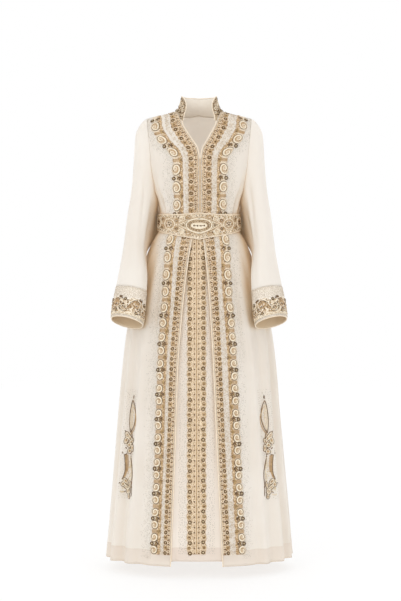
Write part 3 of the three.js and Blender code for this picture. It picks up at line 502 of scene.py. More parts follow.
def shell(name, points, normals, thick, lift=0.0, ring=False, facing=1):
    """A closed shell: the points moved out by lift, and a second layer that lies thick behind them."""
    if ring:
        points, normals = points[:, :-1], normals[:, :-1]
    down, across = points.shape[:2]
    outer = (points + normals * lift).reshape(-1, 3)
    inner = (points + normals * (lift - thick)).reshape(-1, 3)
    index = np.arange(down * across).reshape(down, across)
    if ring:
        index = np.concatenate([index, index[:, :1]], axis=1)
    a, b, c, d = index[:-1, :-1], index[:-1, 1:], index[1:, 1:], index[1:, :-1]
    face = np.stack([a, b, c, d], axis=-1).reshape(-1, 4)
    other = face[:, ::-1] + down * across
    more = down * across
    rims = [(index[0, :-1], index[0, 1:]), (index[-1, 1:], index[-1, :-1])]
    if not ring:
        rims += [(index[1:, 0], index[:-1, 0]), (index[:-1, -1], index[1:, -1])]
    edge = [np.stack([q, p, p + more, q + more], axis=-1) for p, q in rims]
    faces = np.concatenate([face, other] + edge)
    corner = (np.concatenate([outer, inner]))[faces]
    volume = np.einsum("ij,ij->i", corner[:, 0], np.cross(corner[:, 1], corner[:, 2]) + np.cross(corner[:, 2],
        corner[:, 3])).sum()
    if volume < 0:
        faces = faces[:, ::-1]
    step_across = np.linalg.norm(np.diff(points, axis=1), axis=-1).cumsum(axis=1)
    step_down = np.linalg.norm(np.diff(points, axis=0), axis=-1).mean(axis=1).cumsum()
    tape = np.zeros((down, across, 2))
    tape[:, 1:, 0] = step_across
    tape[1:, :, 1] = step_down[:, None]
    tape = np.concatenate([tape.reshape(-1, 2)] * 2)
    piece = new_mesh(name, np.concatenate([outer, inner]), faces, tape)
    within = piece.data.attributes.new("inside", "FLOAT", "POINT")
    within.data.foreach_set("value", np.repeat([0.0, 1.0], down * across))
    return piece


def area_of(sheet):
    p = sheet.points
    return np.linalg.norm(np.cross(p[1:, :-1] - p[:-1, :-1], p[:-1, 1:] - p[:-1, :-1]), axis=-1).sum() * 1e-6


def cloth(name, sheet, thick, material, node, lift=0.0):
    """A piece of cloth: a sheet as a closed shell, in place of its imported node."""
    print(name, round(sheet.lengths[0]), "mm round or across, area", round(area_of(sheet), 4), "m2")
    piece = shell(name, sheet.points, sheet.normals, thick, lift, sheet.ring)
    return finished(piece, material, [node])


# %% [markdown]
# ## Crepe
# Crepe is woven from hard-twisted yarn, which gives a fine pebbled face with a very soft sheen. The
# material has a close weave drawn on the tape distances, a pebble finer than a millimetre, and a slow
# drift of colour, because no dyed cloth is one flat tone. The weave only shifts the light, as bump. Light
# goes into thin pale cloth and comes out a little way off, so folds have no hard shadows: that is what
# subsurface scattering gives. On top of that a warm painted shade is laid into the hollows, and the inner
# face has a painted glow that stands for light come through the cloth.

# %% Crepe


def linear(red, green, blue):
    """A colour given as on a screen, from 0 to 255, in the shader's own scale."""
    parts = [c / 255 for c in (red, green, blue)]
    return tuple(c / 12.92 if c <= 0.04045 else ((c + 0.055) / 1.055) ** 2.4 for c in parts) + (1,)


def tinted(add, factor, low, high, edges=(0.3, 0.7)):
    """A colour that goes from low to high with a factor."""
    ramp = add("ShaderNodeValToRGB", Fac=factor)
    for element, colour, edge in zip(ramp.color_ramp.elements, (low, high), edges):
        element.color, element.position = colour, edge
    return ramp


# Painted shade: the warm tan that crepe's colour is blended towards in hollows found by ambient occlusion.
PAINTED_HOLLOW_SHADE = linear(220, 192, 156)
# Painted light: the strength of the glow, an emission, on crepe's inner face, standing for light come through
# the cloth.
PAINTED_INNER_GLOW = 0.13
WEAVE = 0.0007  # metres from thread to thread


def blended(add, factor, first, second):
    """The first colour, and the second where the factor is one."""
    blend = add("ShaderNodeMix", data_type="RGBA", Factor=factor)
    for label, colour in (("A", first), ("B", second)):
        socket = next(i for i in blend.inputs if i.name == label and i.type == "RGBA")
        if isinstance(colour, tuple):
            socket.default_value = colour
        else:
            blend.id_data.links.new(colour, socket)
    return next(o for o in blend.outputs if o.type == "RGBA")


def below(add, place, level):
    """One below a level in metres, and zero above it."""
    height = add("ShaderNodeSeparateXYZ", place).outputs["Z"]
    step = add("ShaderNodeMapRange", Value=height, From_Min=level, From_Max=level + 0.002, To_Min=1.0,
        To_Max=0.0)
    return step.outputs["Result"]


def crepe(name, light, dark, rough=0.78, doubled=None, deeper=None):
    """Crepe in two near tones. Below the level `doubled` it is lined with itself and a little deeper. In deep
    hollows its colour turns to a warm painted shade, by ambient occlusion, and its inner face has a painted
    glow, an emission that stands for light come through the thin cloth."""
    material, shader, add, fill = node_material(name)
    place = add("ShaderNodeTexCoord").outputs
    drift = add("ShaderNodeTexNoise", Scale=5.0, Detail=3.0, Vector=place["Object"])
    tone = tinted(add, drift.outputs["Fac"], linear(*dark), linear(*light)).outputs["Color"]
    if doubled is not None:
        tone = blended(add, below(add, place["Object"], doubled), tone, linear(*deeper))
    # Painted shade: ambient occlusion blends the colour towards a warm tan in folds and hollows.
    occlusion_for_shade = add("ShaderNodeAmbientOcclusion", Distance=0.07, samples=6).outputs["AO"]
    unshaded_share = add("ShaderNodeMapRange", From_Min=0.25, From_Max=0.72, Value=occlusion_for_shade).outputs["Result"]
    # Painted light: the inner face gives off a faint glow of its own colour.
    within = add("ShaderNodeAttribute", attribute_name="inside").outputs["Fac"]
    painted_glow_strength = add("ShaderNodeMath", within, PAINTED_INNER_GLOW, operation="MULTIPLY").outputs[0]
    wave = dict(Scale=2 * math.pi / 20 / WEAVE, Distortion=1.2, Detail_Scale=2.0, Vector=place["UV"])
    threads = [add("ShaderNodeTexWave", bands_direction=way, **wave).outputs["Fac"] for way in ("X", "Y")]
    crossing = add("ShaderNodeMath", *threads, operation="MULTIPLY").outputs[0]
    pebble = add("ShaderNodeTexNoise", Scale=700.0, Detail=2.0, Vector=place["Object"]).outputs["Fac"]
    face = add("ShaderNodeMath", crossing, pebble, operation="ADD").outputs[0]
    relief = add("ShaderNodeBump", Strength=0.35, Distance=0.0003, Height=face).outputs["Normal"]
    fill(shader, Base_Color=blended(add, unshaded_share, PAINTED_HOLLOW_SHADE, tone), Normal=relief, Roughness=rough)
    fill(shader, Emission_Strength=painted_glow_strength, Emission_Color=tone, Specular_IOR_Level=0.25)
    fill(shader, Sheen_Weight=0.25, Sheen_Roughness=0.4, Sheen_Tint=(1.0, 0.97, 0.93, 1))
    fill(shader, Subsurface_Weight=0.3, Subsurface_Radius=(1.0, 0.92, 0.84), Subsurface_Scale=0.012)
    return material


CREPE = crepe("ivory crepe", (236, 228, 217), (229, 219, 206), doubled=-1.414, deeper=(226, 213, 199))
SLEEVE_CREPE = crepe("ivory sleeve crepe", (243, 236, 226), (237, 228, 216))
UNDER_CREPE = crepe("under-panel crepe", (240, 229, 216), (234, 221, 207), rough=0.7, doubled=-1.404,
    deeper=(226, 210, 196))

# %% [markdown]
# ## The two fronts
# Each front is cut in one piece from shoulder to hem. Its inner edge is the neckline, then the closing,
# and below the belt the slit that falls open. The grids of the last steps become shells at once.

# %% The two fronts
fronts = {}
for side, sheet in FRONTS.items():
    fronts[side] = cloth(f"robe_front_{side}", sheet, CLOTH, CREPE, f"front_{side}")

# %% [markdown]
# ## The back
# The back is one piece from armhole to armhole. Towards the top its middle columns swing from following
# the body's turn to keeping their x, so that they run up into the curve of the back neckline.

# %% The back
BACK_NECK_LEVEL, BACK_GATHER = -42, -120
SIDE_COUNT, NECK_COUNT = 34, 40


def back_sheet():
    side_ends = np.linspace(TIP_X, NECK_X, SIDE_COUNT, endpoint=False)
    neck_ends = NECK_X * np.cos(np.pi * np.arange(NECK_COUNT + 1) / NECK_COUNT)
    ends = np.concatenate([side_ends, neck_ends, -side_ends[::-1]])
    share = np.clip(np.abs(ends) / NECK_X, 0, 1)
    top = mix(SHOULDER, BACK_NECK_LEVEL, np.sqrt(1 - share * share))
    first = 180 - turn_at(SHOULDER, TIP_X)
    place = (180 - turn_at(SHOULDER, ends) - first) / (2 * (180 - first))
    rows = []
    for level in LEVELS:
        gathered = np.clip((level - BACK_GATHER) / (SHOULDER - BACK_GATHER), 0, 1)
        start, stop = outer_turn(level, 1, "back"), 360 + outer_turn(level, -1, "back")
        reached = level - gathered * (SHOULDER - top)
        turn = mix(mix(start, stop, place), 180 - turn_at(reached, ends), gathered)
        rows.append(robe(reached, turn))
    sheet = Sheet(np.array(rows), LEVELS)
    sheet.normals[-1, :, 1] = np.where(np.abs(ends) > NECK_X, 0, sheet.normals[-1, :, 1])
    sheet.normals[-1] = unit(sheet.normals[-1])
    return sheet


BACK = back_sheet()
back = cloth("robe_back", BACK, CLOTH, CREPE, "back")

# %% [markdown]
# ## Sleeves and cuffs
# A sleeve is a tube whose first ring is the armhole and whose last is the wide cuff. Each ring is given by
# its outer and inner points seen from the front, and by its depths. Under the arm the spare cloth falls in
# long troughs. The armhole's shape gives way to the ring's over the first part of the length.

# %% Sleeves and cuffs
SLEEVE = table("outX outZ inX inZ y front back turned lift", [(0.0, 172, -19, 134, -305, 0, 58, 54, 0, 0),
    (0.06, 199, -37, 140, -318, 0, 63, 58, 0, 0), (0.15, 211, -82, 146, -341, 0, 66, 61, 2, 0),
    (0.27, 215, -150, 152, -377, -4, 66, 62, 5, 0), (0.4, 221, -240, 163, -424, -16, 64, 60, 10, 0),
    (0.55, 235, -345, 172, -474, -38, 61, 58, 16, 2), (0.7, 246, -450, 169, -530, -66, 59, 56, 16, 5),
    (0.86, 268, -574, 171, -594, -84, 57, 55, 15, 10), (0.93, 278, -624, 175, -650, -93, 59, 57, 13, 15),
    (1.0, 283, -673, 181, -702, -101, 61, 59, 12, 19)])
CUFF_SEAM = 0.86
CUFF_CLOTH = 1.9
CUFF_COLUMNS = 121
BLEND_TOP, BLEND_UNDERARM = 0.13, 0.32
# Troughs: place round the ring, half breadth, depth, and the shares where each starts, is deepest, and ends.
SLEEVE_CREASES = {"left": [(152, 30, 22, 0.03, 0.34, 0.72), (112, 15, 7, 0.05, 0.3, 0.6),
    (232, 24, 12, 0.04, 0.36, 0.8)], "right": [(150, 32, 24, 0.03, 0.36, 0.74), (96, 14, 4, 0.1, 0.3, 0.55),
    (238, 24, 11, 0.04, 0.34, 0.78)]}
# The inner back of a sleeve hangs in behind the waist: its place round the ring and half breadth, how far it
# reaches in and back, and the shares where it starts, is full, begins to fade, and ends.
TUCK_PLACE, TUCK_IN, TUCK_BACK, TUCK_SPAN = (229, 47), 51, 38, (0.12, 0.29, 0.34, 0.64)
SLEEVE_WAVES = {side: waves(31 + k, 6, 3, 11, 2.2) for k, side in enumerate(HALVES)}
SLEEVE_CREASE = 2.2


def armhole_loop(side):
    """The armhole's edge from the shoulder tip down the front and up the back, and the place round it."""
    half = HALVES[side]
    low = int(np.argmin(np.abs(LEVELS - UNDERARM)))
    front = FRONTS[side].points[low:, -1]
    rear = BACK.points[low:, 0 if half > 0 else -1]
    top = len(front) - 1
    loop = np.concatenate([front[::-1], rear[1:top]])
    loop[0] = (front[top] + rear[top]) / 2
    loop[top] = (front[0] + rear[0]) / 2
    share = np.clip(2 * (loop[:, 2] - front[0, 2]) / (front[top, 2] - front[0, 2]) - 1, -1, 1)
    around = np.degrees(np.arccos(share))
    around[top + 1 :] *= -1
    return loop, around


def sleeve_middle(s, half):
    at = {name: column(s) for name, column in SLEEVE.items()}
    return np.array([half * (at["outX"] + at["inX"]) / 2, at["y"], (at["outZ"] + at["inZ"]) / 2])


def sleeve_ring(side, s, loop, around):
    half = HALVES[side]
    at = {name: column(s) for name, column in SLEEVE.items()}
    middle = sleeve_middle(s, half)
    outward = np.array([half * (at["outX"] - at["inX"]), 0, at["outZ"] - at["inZ"]])
    wide = np.linalg.norm(outward) / 2
    cos, sin = np.cos(np.radians(around)), np.sin(np.radians(around))
    points = middle + (unit(outward) * (wide * cos - at["turned"] * sin)[:, None])
    points[:, 1] -= sin * np.where(sin > 0, at["front"], at["back"])
    points[:, 2] += at["lift"] * sin
    depth = np.zeros(len(around))
    for place, half_breadth, deep, start, full, stop in SLEEVE_CREASES[side]:
        across = np.minimum(np.abs(around % 360 - place) / half_breadth, 1)
        along = ease((s - start) / (full - start)) if s < full else 1 - ease((s - full) / (stop - full))
        depth += deep * along * np.cos(across * np.pi / 2) ** 2
    loose = ease(s / 0.3) * (1 - 0.75 * ease((s - 0.6) / 0.3))
    depth += SLEEVE_CREASE * loose * rippled(SLEEVE_WAVES[side], around / 360, s * 0.6)
    points += unit(middle - points) * depth[:, None]
    across = np.minimum(np.abs(around % 360 - TUCK_PLACE[0]) / TUCK_PLACE[1], 1)
    start, full, fades, stop = TUCK_SPAN
    tuck = ease((s - start) / (full - start)) * (1 - ease((s - fades) / (stop - fades)))
    tuck = tuck * np.cos(across * np.pi / 2) ** 2
    points[:, 0] -= half * TUCK_IN * tuck
    points[:, 1] += TUCK_BACK * tuck
    blend = mix(BLEND_UNDERARM, BLEND_TOP, (1 + cos) / 2)
    return mix(loop, points, ease(s / blend)[:, None])


def closed_ring(points):
    return np.concatenate([points, points[:, :1]], axis=1)


def sleeve_sheets(side):
    half = HALVES[side]
    loop, around = armhole_loop(side)
    shares = np.concatenate([np.linspace(0, 0.32, 34)[:-1], np.linspace(0.32, CUFF_SEAM, 44)])
    rings = np.array([sleeve_ring(side, s, loop, around) for s in shares])
    rings[0] += unit(rings[1] - rings[0]) * 1.5 * SEAM
    rings[0, :, 0] += half * SEAM
    middles = np.array([sleeve_middle(s, half) for s in shares])[:, None]
    sleeve = Sheet(closed_ring(rings), shares, True, middles)
    cuff_shares = np.linspace(CUFF_SEAM, 1, 22)
    cuff_rings = np.array([sleeve_ring(side, s, loop, around) for s in cuff_shares])
    cuff_middles = np.array([sleeve_middle(s, half) for s in cuff_shares])[:, None]
    down = unit(cuff_middles[-1] - cuff_middles[0])
    cuff_rings[0] += down * SEAM
    cuff_rings = np.array([tape_row(ring, CUFF_COLUMNS) for ring in closed_ring(cuff_rings)])
    return sleeve, Sheet(cuff_rings, cuff_shares, True, cuff_middles), down


SLEEVES, CUFFS, CUFF_DOWN, sleeves, cuffs = {}, {}, {}, {}, {}
CUFF_CREPE = crepe("doubled cuff crepe", (232, 221, 204), (218, 205, 186), rough=0.7)
for side in HALVES:
    SLEEVES[side], CUFFS[side], CUFF_DOWN[side] = sleeve_sheets(side)
    sleeves[side] = cloth(f"sleeve_cloth_{side}", SLEEVES[side], CLOTH, SLEEVE_CREPE,
        f"sleeve_{side}")
    cuffs[side] = cloth(f"cuff_cloth_{side}", CUFFS[side], CUFF_CLOTH, CUFF_CREPE,
        f"cuff_{side}", (CUFF_CLOTH - CLOTH) / 2)

# %% [markdown]
# ## The collar
# The stand collar starts as a point at each side of the neckline and grows into a tall band round the
# back of the neck. It is stiffened, so it only hollows a little between its seam and its upper edge.

# %% The collar
COLLAR_CLOTH = 2.0
COLLAR_TOP = table("x y z", [(0, 53.5, -76.5, -35), (0.1, 50, -71, -14), (0.2, 44.5, -65, 4),
    (0.31, 44, -55, 20), (0.42, 49, -38, 37), (0.52, 57, -14, 51), (0.66, 59, 16, 54), (0.84, 42, 45, 54),
    (1.0, 0, 57, 53)])
COLLAR_HOLLOW, COLLAR_STAND, COLLAR_ROWS = 4, 40, 14
NECK_MIDDLE = np.array([0, -8, -40])


def corner_row():
    """The first level at which a front's edge reaches the collar's corner."""
    for i, level in enumerate(LEVELS):
        x = inner_edge(level, 1)
        if level + BODY["tilt"](level) * (1 - x / TIP_X) > CORNER - 0.6:
            return i
    return len(LEVELS) - 1


def collar_sheet():
    corner = corner_row()
    left, right = (FRONTS[side].points[corner:, 0] for side in ("left", "right"))
    rear = BACK.points[-1, SIDE_COUNT : SIDE_COUNT + NECK_COUNT + 1]
    seam = np.concatenate([left, rear[1:-1], right[::-1]])
    seam = tape_row(seam, 110)
    share = np.linspace(0, 2, len(seam))
    mirrored = np.where(share > 1, 2 - share, share)
    top = np.stack([COLLAR_TOP[k](mirrored) for k in "xyz"], axis=1)
    top[:, 0] *= np.where(share > 1, -1, 1)
    along = unit(np.gradient(seam, axis=0))
    up = top - seam
    height = np.linalg.norm(up, axis=1)
    across = unit(up - along * np.sum(up * along, axis=1, keepdims=True))
    foot = seam + across * 1.5 * SEAM
    rows = []
    for rise in np.linspace(0, 1, COLLAR_ROWS):
        line = mix(foot, top, rise)
        inward = unit(line * np.array([-1, -1, 0]))
        stand = np.minimum(1, height / COLLAR_STAND) * math.sin(math.pi * rise)
        rows.append(line + inward * (COLLAR_HOLLOW * stand)[:, None])
    sheet = Sheet(np.array(rows), np.linspace(0, 1, COLLAR_ROWS), middle=NECK_MIDDLE)
    sheet.height = height
    return sheet


COLLAR = collar_sheet()
COLLAR_CREPE = crepe("stiffened collar crepe", (222, 208, 184), (205, 188, 158), rough=0.7)
collar = cloth("collar_cloth", COLLAR, COLLAR_CLOTH, COLLAR_CREPE, "collar")

# %% [markdown]
# ## The under-panel
# A narrow panel hangs behind the open fronts from the waist nearly to the hem. It swings clear of them by
# a centimetre, keeps two soft pleats, and ends in a deep doubled hem.

# %% The under-panel
UNDER_HEM, UNDER_TOP, UNDER_FALL, UNDER_EASE, UNDER_SEAM_EASE = -1447, -352, 170, 12, 2.4
UNDER_MIDDLE, UNDER_STRIP, UNDER_OVERLAP = -8, 32, 46
UNDER_FOLDS = [(14.5, 4, 6, -520, -1300), (-17.5, 4, 7, -540, -1250)]
UNDER_COLUMNS = 60


def under_point(level, turn):
    hung = mix(UNDER_SEAM_EASE, UNDER_EASE, ease((UNDER_TOP - level) / UNDER_FALL))
    return robe(level, turn, folded=False, out=-hung, folds=UNDER_FOLDS)


def under_sheet():
    levels = between([UNDER_HEM, -1424, -905, -520, -420, UNDER_TOP], 11)
    rows = []
    for level in levels:
        start = turn_at(level, inner_edge(level, -1) - UNDER_OVERLAP)
        stop = turn_at(level, inner_edge(level, 1) + UNDER_OVERLAP)
        rows.append(tape_row(under_point(level, np.linspace(start, stop, MEASURING_STEPS)), UNDER_COLUMNS))
    return Sheet(np.array(rows), levels)


UNDER = under_sheet()
under_panel = cloth("under_panel_cloth", UNDER, CLOTH, UNDER_CREPE, "under_panel")

# %% [markdown]
# ## The belt's cloth
# The belt is a stiff band made on its own. It closes behind, and it is cut deeper in front, where it comes
# down to a point. It stands a few millimetres off the robe, over the bands and the piping.

# %% The belt's cloth
BELT = table("top bottom", [(0, -338, -419), (8, -340, -414), (30, -342, -405), (60, -340, -393),
    (90, -338, -384), (180, -335, -380)])
BELT_EASE, BELT_CLOTH, BELT_PIPING = 3.5, 2.6, 1.5
BELT_COUNT, BELT_ROWS = 200, 14


def belt_sheet():
    turns = np.linspace(-180, 180, 2 * MEASURING_STEPS)
    rows = []
    for share in np.linspace(0, 1, BELT_ROWS):
        level = mix(BELT["bottom"](np.abs(turns)), BELT["top"](np.abs(turns)), share)
        line = robe(level, turns, folded=False, out=BELT_EASE + BELT_CLOTH)
        rows.append(tape_row(line, BELT_COUNT + 1))
    return Sheet(np.array(rows), np.linspace(0, 1, BELT_ROWS), True, np.array([0, 0, -380.0]))


BELT_SHEET = belt_sheet()
BELT_STUFF = crepe("belt ground cloth", (232, 220, 196), (216, 200, 170), rough=0.6)
belt = cloth("belt_body", BELT_SHEET, BELT_CLOTH, BELT_STUFF, "belt")

# %% [markdown]
# ## Geometry Nodes for cords
# Piping and couched cord are the same thing to a modeller: a round section that follows a path. One tree
# does them all. It turns a chain of edges into a curve, sweeps a circle along it, and sets the finish. Its
# inputs are the thickness, the number of sides and the finish.

# %% Geometry Nodes for cords


def new_tree(name, **inputs):
    """An empty geometry tree with named inputs, the outputs of its start, and its adding helper."""
    tree = bpy.data.node_groups.new(name, "GeometryNodeTree")
    for label, kind in dict(Geometry="Geometry", **inputs).items():
        tree.interface.new_socket(label, in_out="INPUT", socket_type="NodeSocket" + kind)
    tree.interface.new_socket("Geometry", in_out="OUTPUT", socket_type="NodeSocketGeometry")
    add, _ = adding_to(tree)
    return tree, add("NodeGroupInput").outputs, add


def ended(tree, add, geometry, finish):
    """Closes a tree: what it made is turned into real mesh and given its finish."""
    whole = add("GeometryNodeRealizeInstances", Geometry=geometry).outputs["Geometry"]
    add("NodeGroupOutput", add("GeometryNodeSetMaterial", Geometry=whole,
        Material=finish).outputs["Geometry"])
    return tree


def cord_tree():
    tree, start, add = new_tree("swept cord", Thickness="Float", Sides="Int", Finish="Material")
    radius = add("ShaderNodeMath", start["Thickness"], 0.5, operation="MULTIPLY").outputs[0]
    section = add("GeometryNodeCurvePrimitiveCircle", Radius=radius,
        Resolution=start["Sides"]).outputs["Curve"]
    path = add("GeometryNodeMeshToCurve", Mesh=start["Geometry"]).outputs["Curve"]
    sweep = add("GeometryNodeCurveToMesh", Curve=path, Profile_Curve=section, Fill_Caps=True)
    return ended(tree, add, sweep.outputs["Mesh"], start["Finish"])


def grown(name, base, tree, **settings):
    """Runs a tree on a base mesh and returns the result as a plain mesh object."""
    modifier = base.modifiers.new(tree.name, "NODES")
    modifier.node_group = tree
    sockets = {item.name: item.identifier for item in tree.interface.items_tree if item.in_out == "INPUT"}
    for label, value in settings.items():
        modifier[sockets[label]] = value
    graph = bpy.context.evaluated_depsgraph_get()
    mesh = bpy.data.meshes.new_from_object(base.evaluated_get(graph), depsgraph=graph)
    base.modifiers.remove(modifier)
    bpy.data.objects.remove(base)
    mesh.name = name
    mesh.polygons.foreach_set("use_smooth", [True] * len(mesh.polygons))
    return linked(name, mesh)


CORD_TREE = cord_tree()


def cords(name, paths, thickness, material, sides=6, replaces=(), slot=None):
    """Cords of one thickness along many paths, in millimetres. A path that ends where it starts is a ring."""
    points, edges = [], []
    for path in paths:
        path = np.asarray(path)
        ring = np.linalg.norm(path[0] - path[-1]) < 0.01
        if ring:
            path = path[:-1]
        first = len(points)
        points.extend(path)
        edges.extend([(first + i, first + i + 1) for i in range(len(path) - 1)])
        if ring:
            edges.append((first + len(path) - 1, first))
    base = mesh_object(name + "_path", points, edges=edges)
    piece = grown(name, base, CORD_TREE, Thickness=thickness * MM, Sides=sides, Finish=material)
    print(name, len(paths), "cords,", len(piece.data.polygons), "faces")
    return finished(piece, material, replaces)


# %% [markdown]
# ## Satin piping
# A bias strip of satin is folded over a fine cord and sewn into each edge. Satin's long floats catch the
# light, so it is smoother and warmer than the crepe, with faint stripes across where the bias turns. On the
# bodice, where the fronts are closed, the edge is worked over with tan silk to match the bands beside it.

# %% Satin piping


def thread_like(name, light, dark, rough, metal, ply=0.0016, bump=0.5, sheen=0.0):
    """Thread, cord or satin: slanting plies that show in relief, and a fleck of colour."""
    material, shader, add, fill = node_material(name)
    place = add("ShaderNodeTexCoord").outputs["Object"]
    wave = dict(Scale=2 * math.pi / 20 / ply, Distortion=2.0, Detail=1.0, Vector=place)
    plies = add("ShaderNodeTexWave", bands_direction="DIAGONAL", **wave).outputs["Fac"]
    fleck = add("ShaderNodeTexNoise", Scale=160.0, Detail=2.0, Vector=place).outputs["Fac"]
    tone = tinted(add, fleck, linear(*dark), linear(*light)).outputs["Color"]
    relief = add("ShaderNodeBump", Strength=bump, Distance=0.0004, Height=plies).outputs["Normal"]
    fill(shader, Base_Color=tone, Normal=relief, Roughness=rough, Metallic=metal, Sheen_Weight=sheen)
    return material


SATIN = thread_like("cream satin", (250, 236, 214), (240, 222, 196), 0.42, 0.0, 0.004, 0.15, 0.2)
CLOSING_SILK = thread_like("tan closing silk", (226, 200, 162), (196, 166, 126), 0.5, 0.1)


def beside(points, normals, inner, away_by, sink):
    """A line moved off a sheet's edge, away from its inner line, and in to the middle of the cloth."""
    along = unit(np.gradient(points, axis=0))
    away = unit(np.cross(along, normals))
    flip = np.sum(away * (inner - points), axis=1, keepdims=True) > 0
    away = np.where(flip, -away, away)
    return points - normals * sink + away * away_by


corner = corner_row()
for side, sheet in FRONTS.items():
    edge = beside(sheet.points[:, 0], sheet.normals[:, 0], sheet.points[:, 1], PIPING + SEAM, CLOTH / 2)
    foot, top = (int(np.argmin(np.abs(LEVELS - level))) for level in (CLOSING_FOOT - 12, V_BOTTOM - 14))
    parts = [edge[: foot + 1], edge[top : corner + 1]]
    cords(f"satin_edge_{side}", parts, 2 * PIPING, SATIN, 10, [f"edge_piping_{side}"], slot="satin")
    cords(f"closing_cord_{side}", [edge[foot : top + 1]], 1.6 * PIPING, CLOSING_SILK, 8, slot="gold_thread")
    cuff = CUFFS[side]
    line = cuff.points[-1] - cuff.normals[-1] * CLOTH / 2 + CUFF_DOWN[side] * (PIPING + SEAM)
    cords(f"satin_cuff_{side}", [line], 2 * PIPING, SATIN, 10, [f"cuff_piping_{side}"], slot="satin")

line = beside(COLLAR.points[-1], COLLAR.normals[-1], COLLAR.points[-2], PIPING + SEAM, COLLAR_CLOTH / 2)
cords("satin_collar", [line], 2 * PIPING, SATIN, 10, ["collar_piping"], slot="satin")
for edge, row, way in (("top", -1, 1), ("bottom", 0, -1)):
    line = BELT_SHEET.points[row] - BELT_SHEET.normals[row] * BELT_CLOTH / 2
    line[:, 2] += way * (BELT_PIPING + SEAM)
    cords(f"satin_belt_{edge}", [line], 2 * BELT_PIPING, SATIN, 10, [f"belt_piping_{edge}"], slot="satin")

# %% [markdown]
# ## Laying out embroidery
# An embroiderer chalks a line on the cloth and works to both sides of it. A ribbon does the same here: it
# has a middle line on a sheet and its own tape along it. A stitch is placed by two plain measures, how far
# across the ribbon and how far along, and the ribbon answers with a place, a facing and a way up.

# %% Laying out embroidery
MARKS = 700  # places measured along a ribbon's middle line


def facing_of(ribbon):
    """1 or -1, so that the outward direction on a ribbon agrees with its sheet's normals."""
    ribbon.facing = 1
    point, out, _, _ = framed(ribbon, np.zeros(1), np.full(1, ribbon.usual))
    nearest = np.linalg.norm(ribbon.sheet.points - point[0], axis=-1).argmin()
    return 1 if np.dot(ribbon.sheet.normals.reshape(-1, 3)[nearest], out[0]) > 0 else -1


class Ribbon:
    """A strip of a sheet. `middle(v)` is where its middle line runs, and `reach(v)` a millimetre across."""

    def __init__(self, sheet, start, stop, middle, reach=None):
        self.sheet, self.middle = sheet, middle
        self.reach = reach or (lambda v: 1.0)
        values = np.linspace(start, stop, MARKS)
        line = sheet.at(middle(values), values)
        self.run = np.concatenate([[0], np.cumsum(np.linalg.norm(np.diff(line, axis=0), axis=1))])
        self.values = values
        self.length = self.run[-1]
        self.usual = self.length / 2
        self.facing = facing_of(self)

    def place(self, a, s):
        v = np.interp(s, self.run, self.values)
        return self.sheet.at(self.middle(v) + a * self.reach(v), v)


class Girdle:
    """A ribbon that runs along a sheet's rows: along is the way round from `centre`, a share of the row.
    Across is measured from the row that `line` names, towards the last row if `way` is 1."""

    def __init__(self, sheet, line, centre=0.5, way=1):
        self.sheet, self.line, self.centre, self.way = sheet, line, centre, way
        self.length = float(sheet.lengths.mean())
        rises = np.linalg.norm(np.diff(sheet.points, axis=0), axis=-1).sum(axis=0)
        self.rises, self.shares = rises, np.linspace(0, 1, len(rises))
        self.depth = sheet.values[-1] - sheet.values[0]
        self.usual = 0.0
        self.facing = facing_of(self)

    def share(self, s):
        share = s / self.length + self.centre
        return share % 1 if self.sheet.ring else np.clip(share, 0, 1)

    def height(self, s):
        """The sheet's height at a way round."""
        return np.interp(self.share(s), self.shares, self.rises)

    def place(self, a, s):
        a, s = np.broadcast_arrays(np.asarray(a, float), np.asarray(s, float))
        v = self.line + self.way * a * self.depth / self.height(s)
        return self.sheet.at_share(self.share(s), v)


def framed(ribbon, a, s, lift=0.0):
    """Places on a ribbon with the outward direction, the way along and the way across."""
    a, s = np.broadcast_arrays(np.asarray(a, float), np.asarray(s, float))
    across = unit(ribbon.place(a + 0.8, s) - ribbon.place(a - 0.8, s))
    along = unit(ribbon.place(a, s + 1.2) - ribbon.place(a, s - 1.2))
    out = unit(np.cross(across, along)) * ribbon.facing
    return ribbon.place(a, s) + out * lift, out, along, across


def laid(ribbon, path, lift):
    """A flat path of (across, along) laid on the cloth."""
    path = np.asarray(path, float)
    return framed(ribbon, path[:, 0], path[:, 1], lift)[0]


def ground(name, ribbon, inner, outer, material, replaces=(), columns=7, step=2.6, span=None, thick=0.8):
    """A strip of close stitching whose two edges are functions of the way along."""
    start, stop = span or (0, ribbon.length)
    s = np.linspace(start, stop, int((stop - start) / step) + 1)
    low, high = inner(s), outer(s)
    a = low[:, None] + (high - low)[:, None] * np.linspace(0, 1, columns)
    points, out, _, _ = framed(ribbon, a, s[:, None] + 0 * a)
    piece = shell(name, points, out, thick, SEAM + thick)
    print(name, "faces", len(piece.data.polygons))
    return finished(piece, material, replaces)


# %% [markdown]
# ## Geometry Nodes for what is sewn on
# Beads, sequins, petals and leaves are each one small shape, sewn on hundreds of times. The tree puts the
# shape on every point of a base mesh. Three attributes of the points say which way is out, which way is
# up and how big the piece is. A little random tilt, from a fixed seed, keeps the rows handmade.

# %% Geometry Nodes for what is sewn on


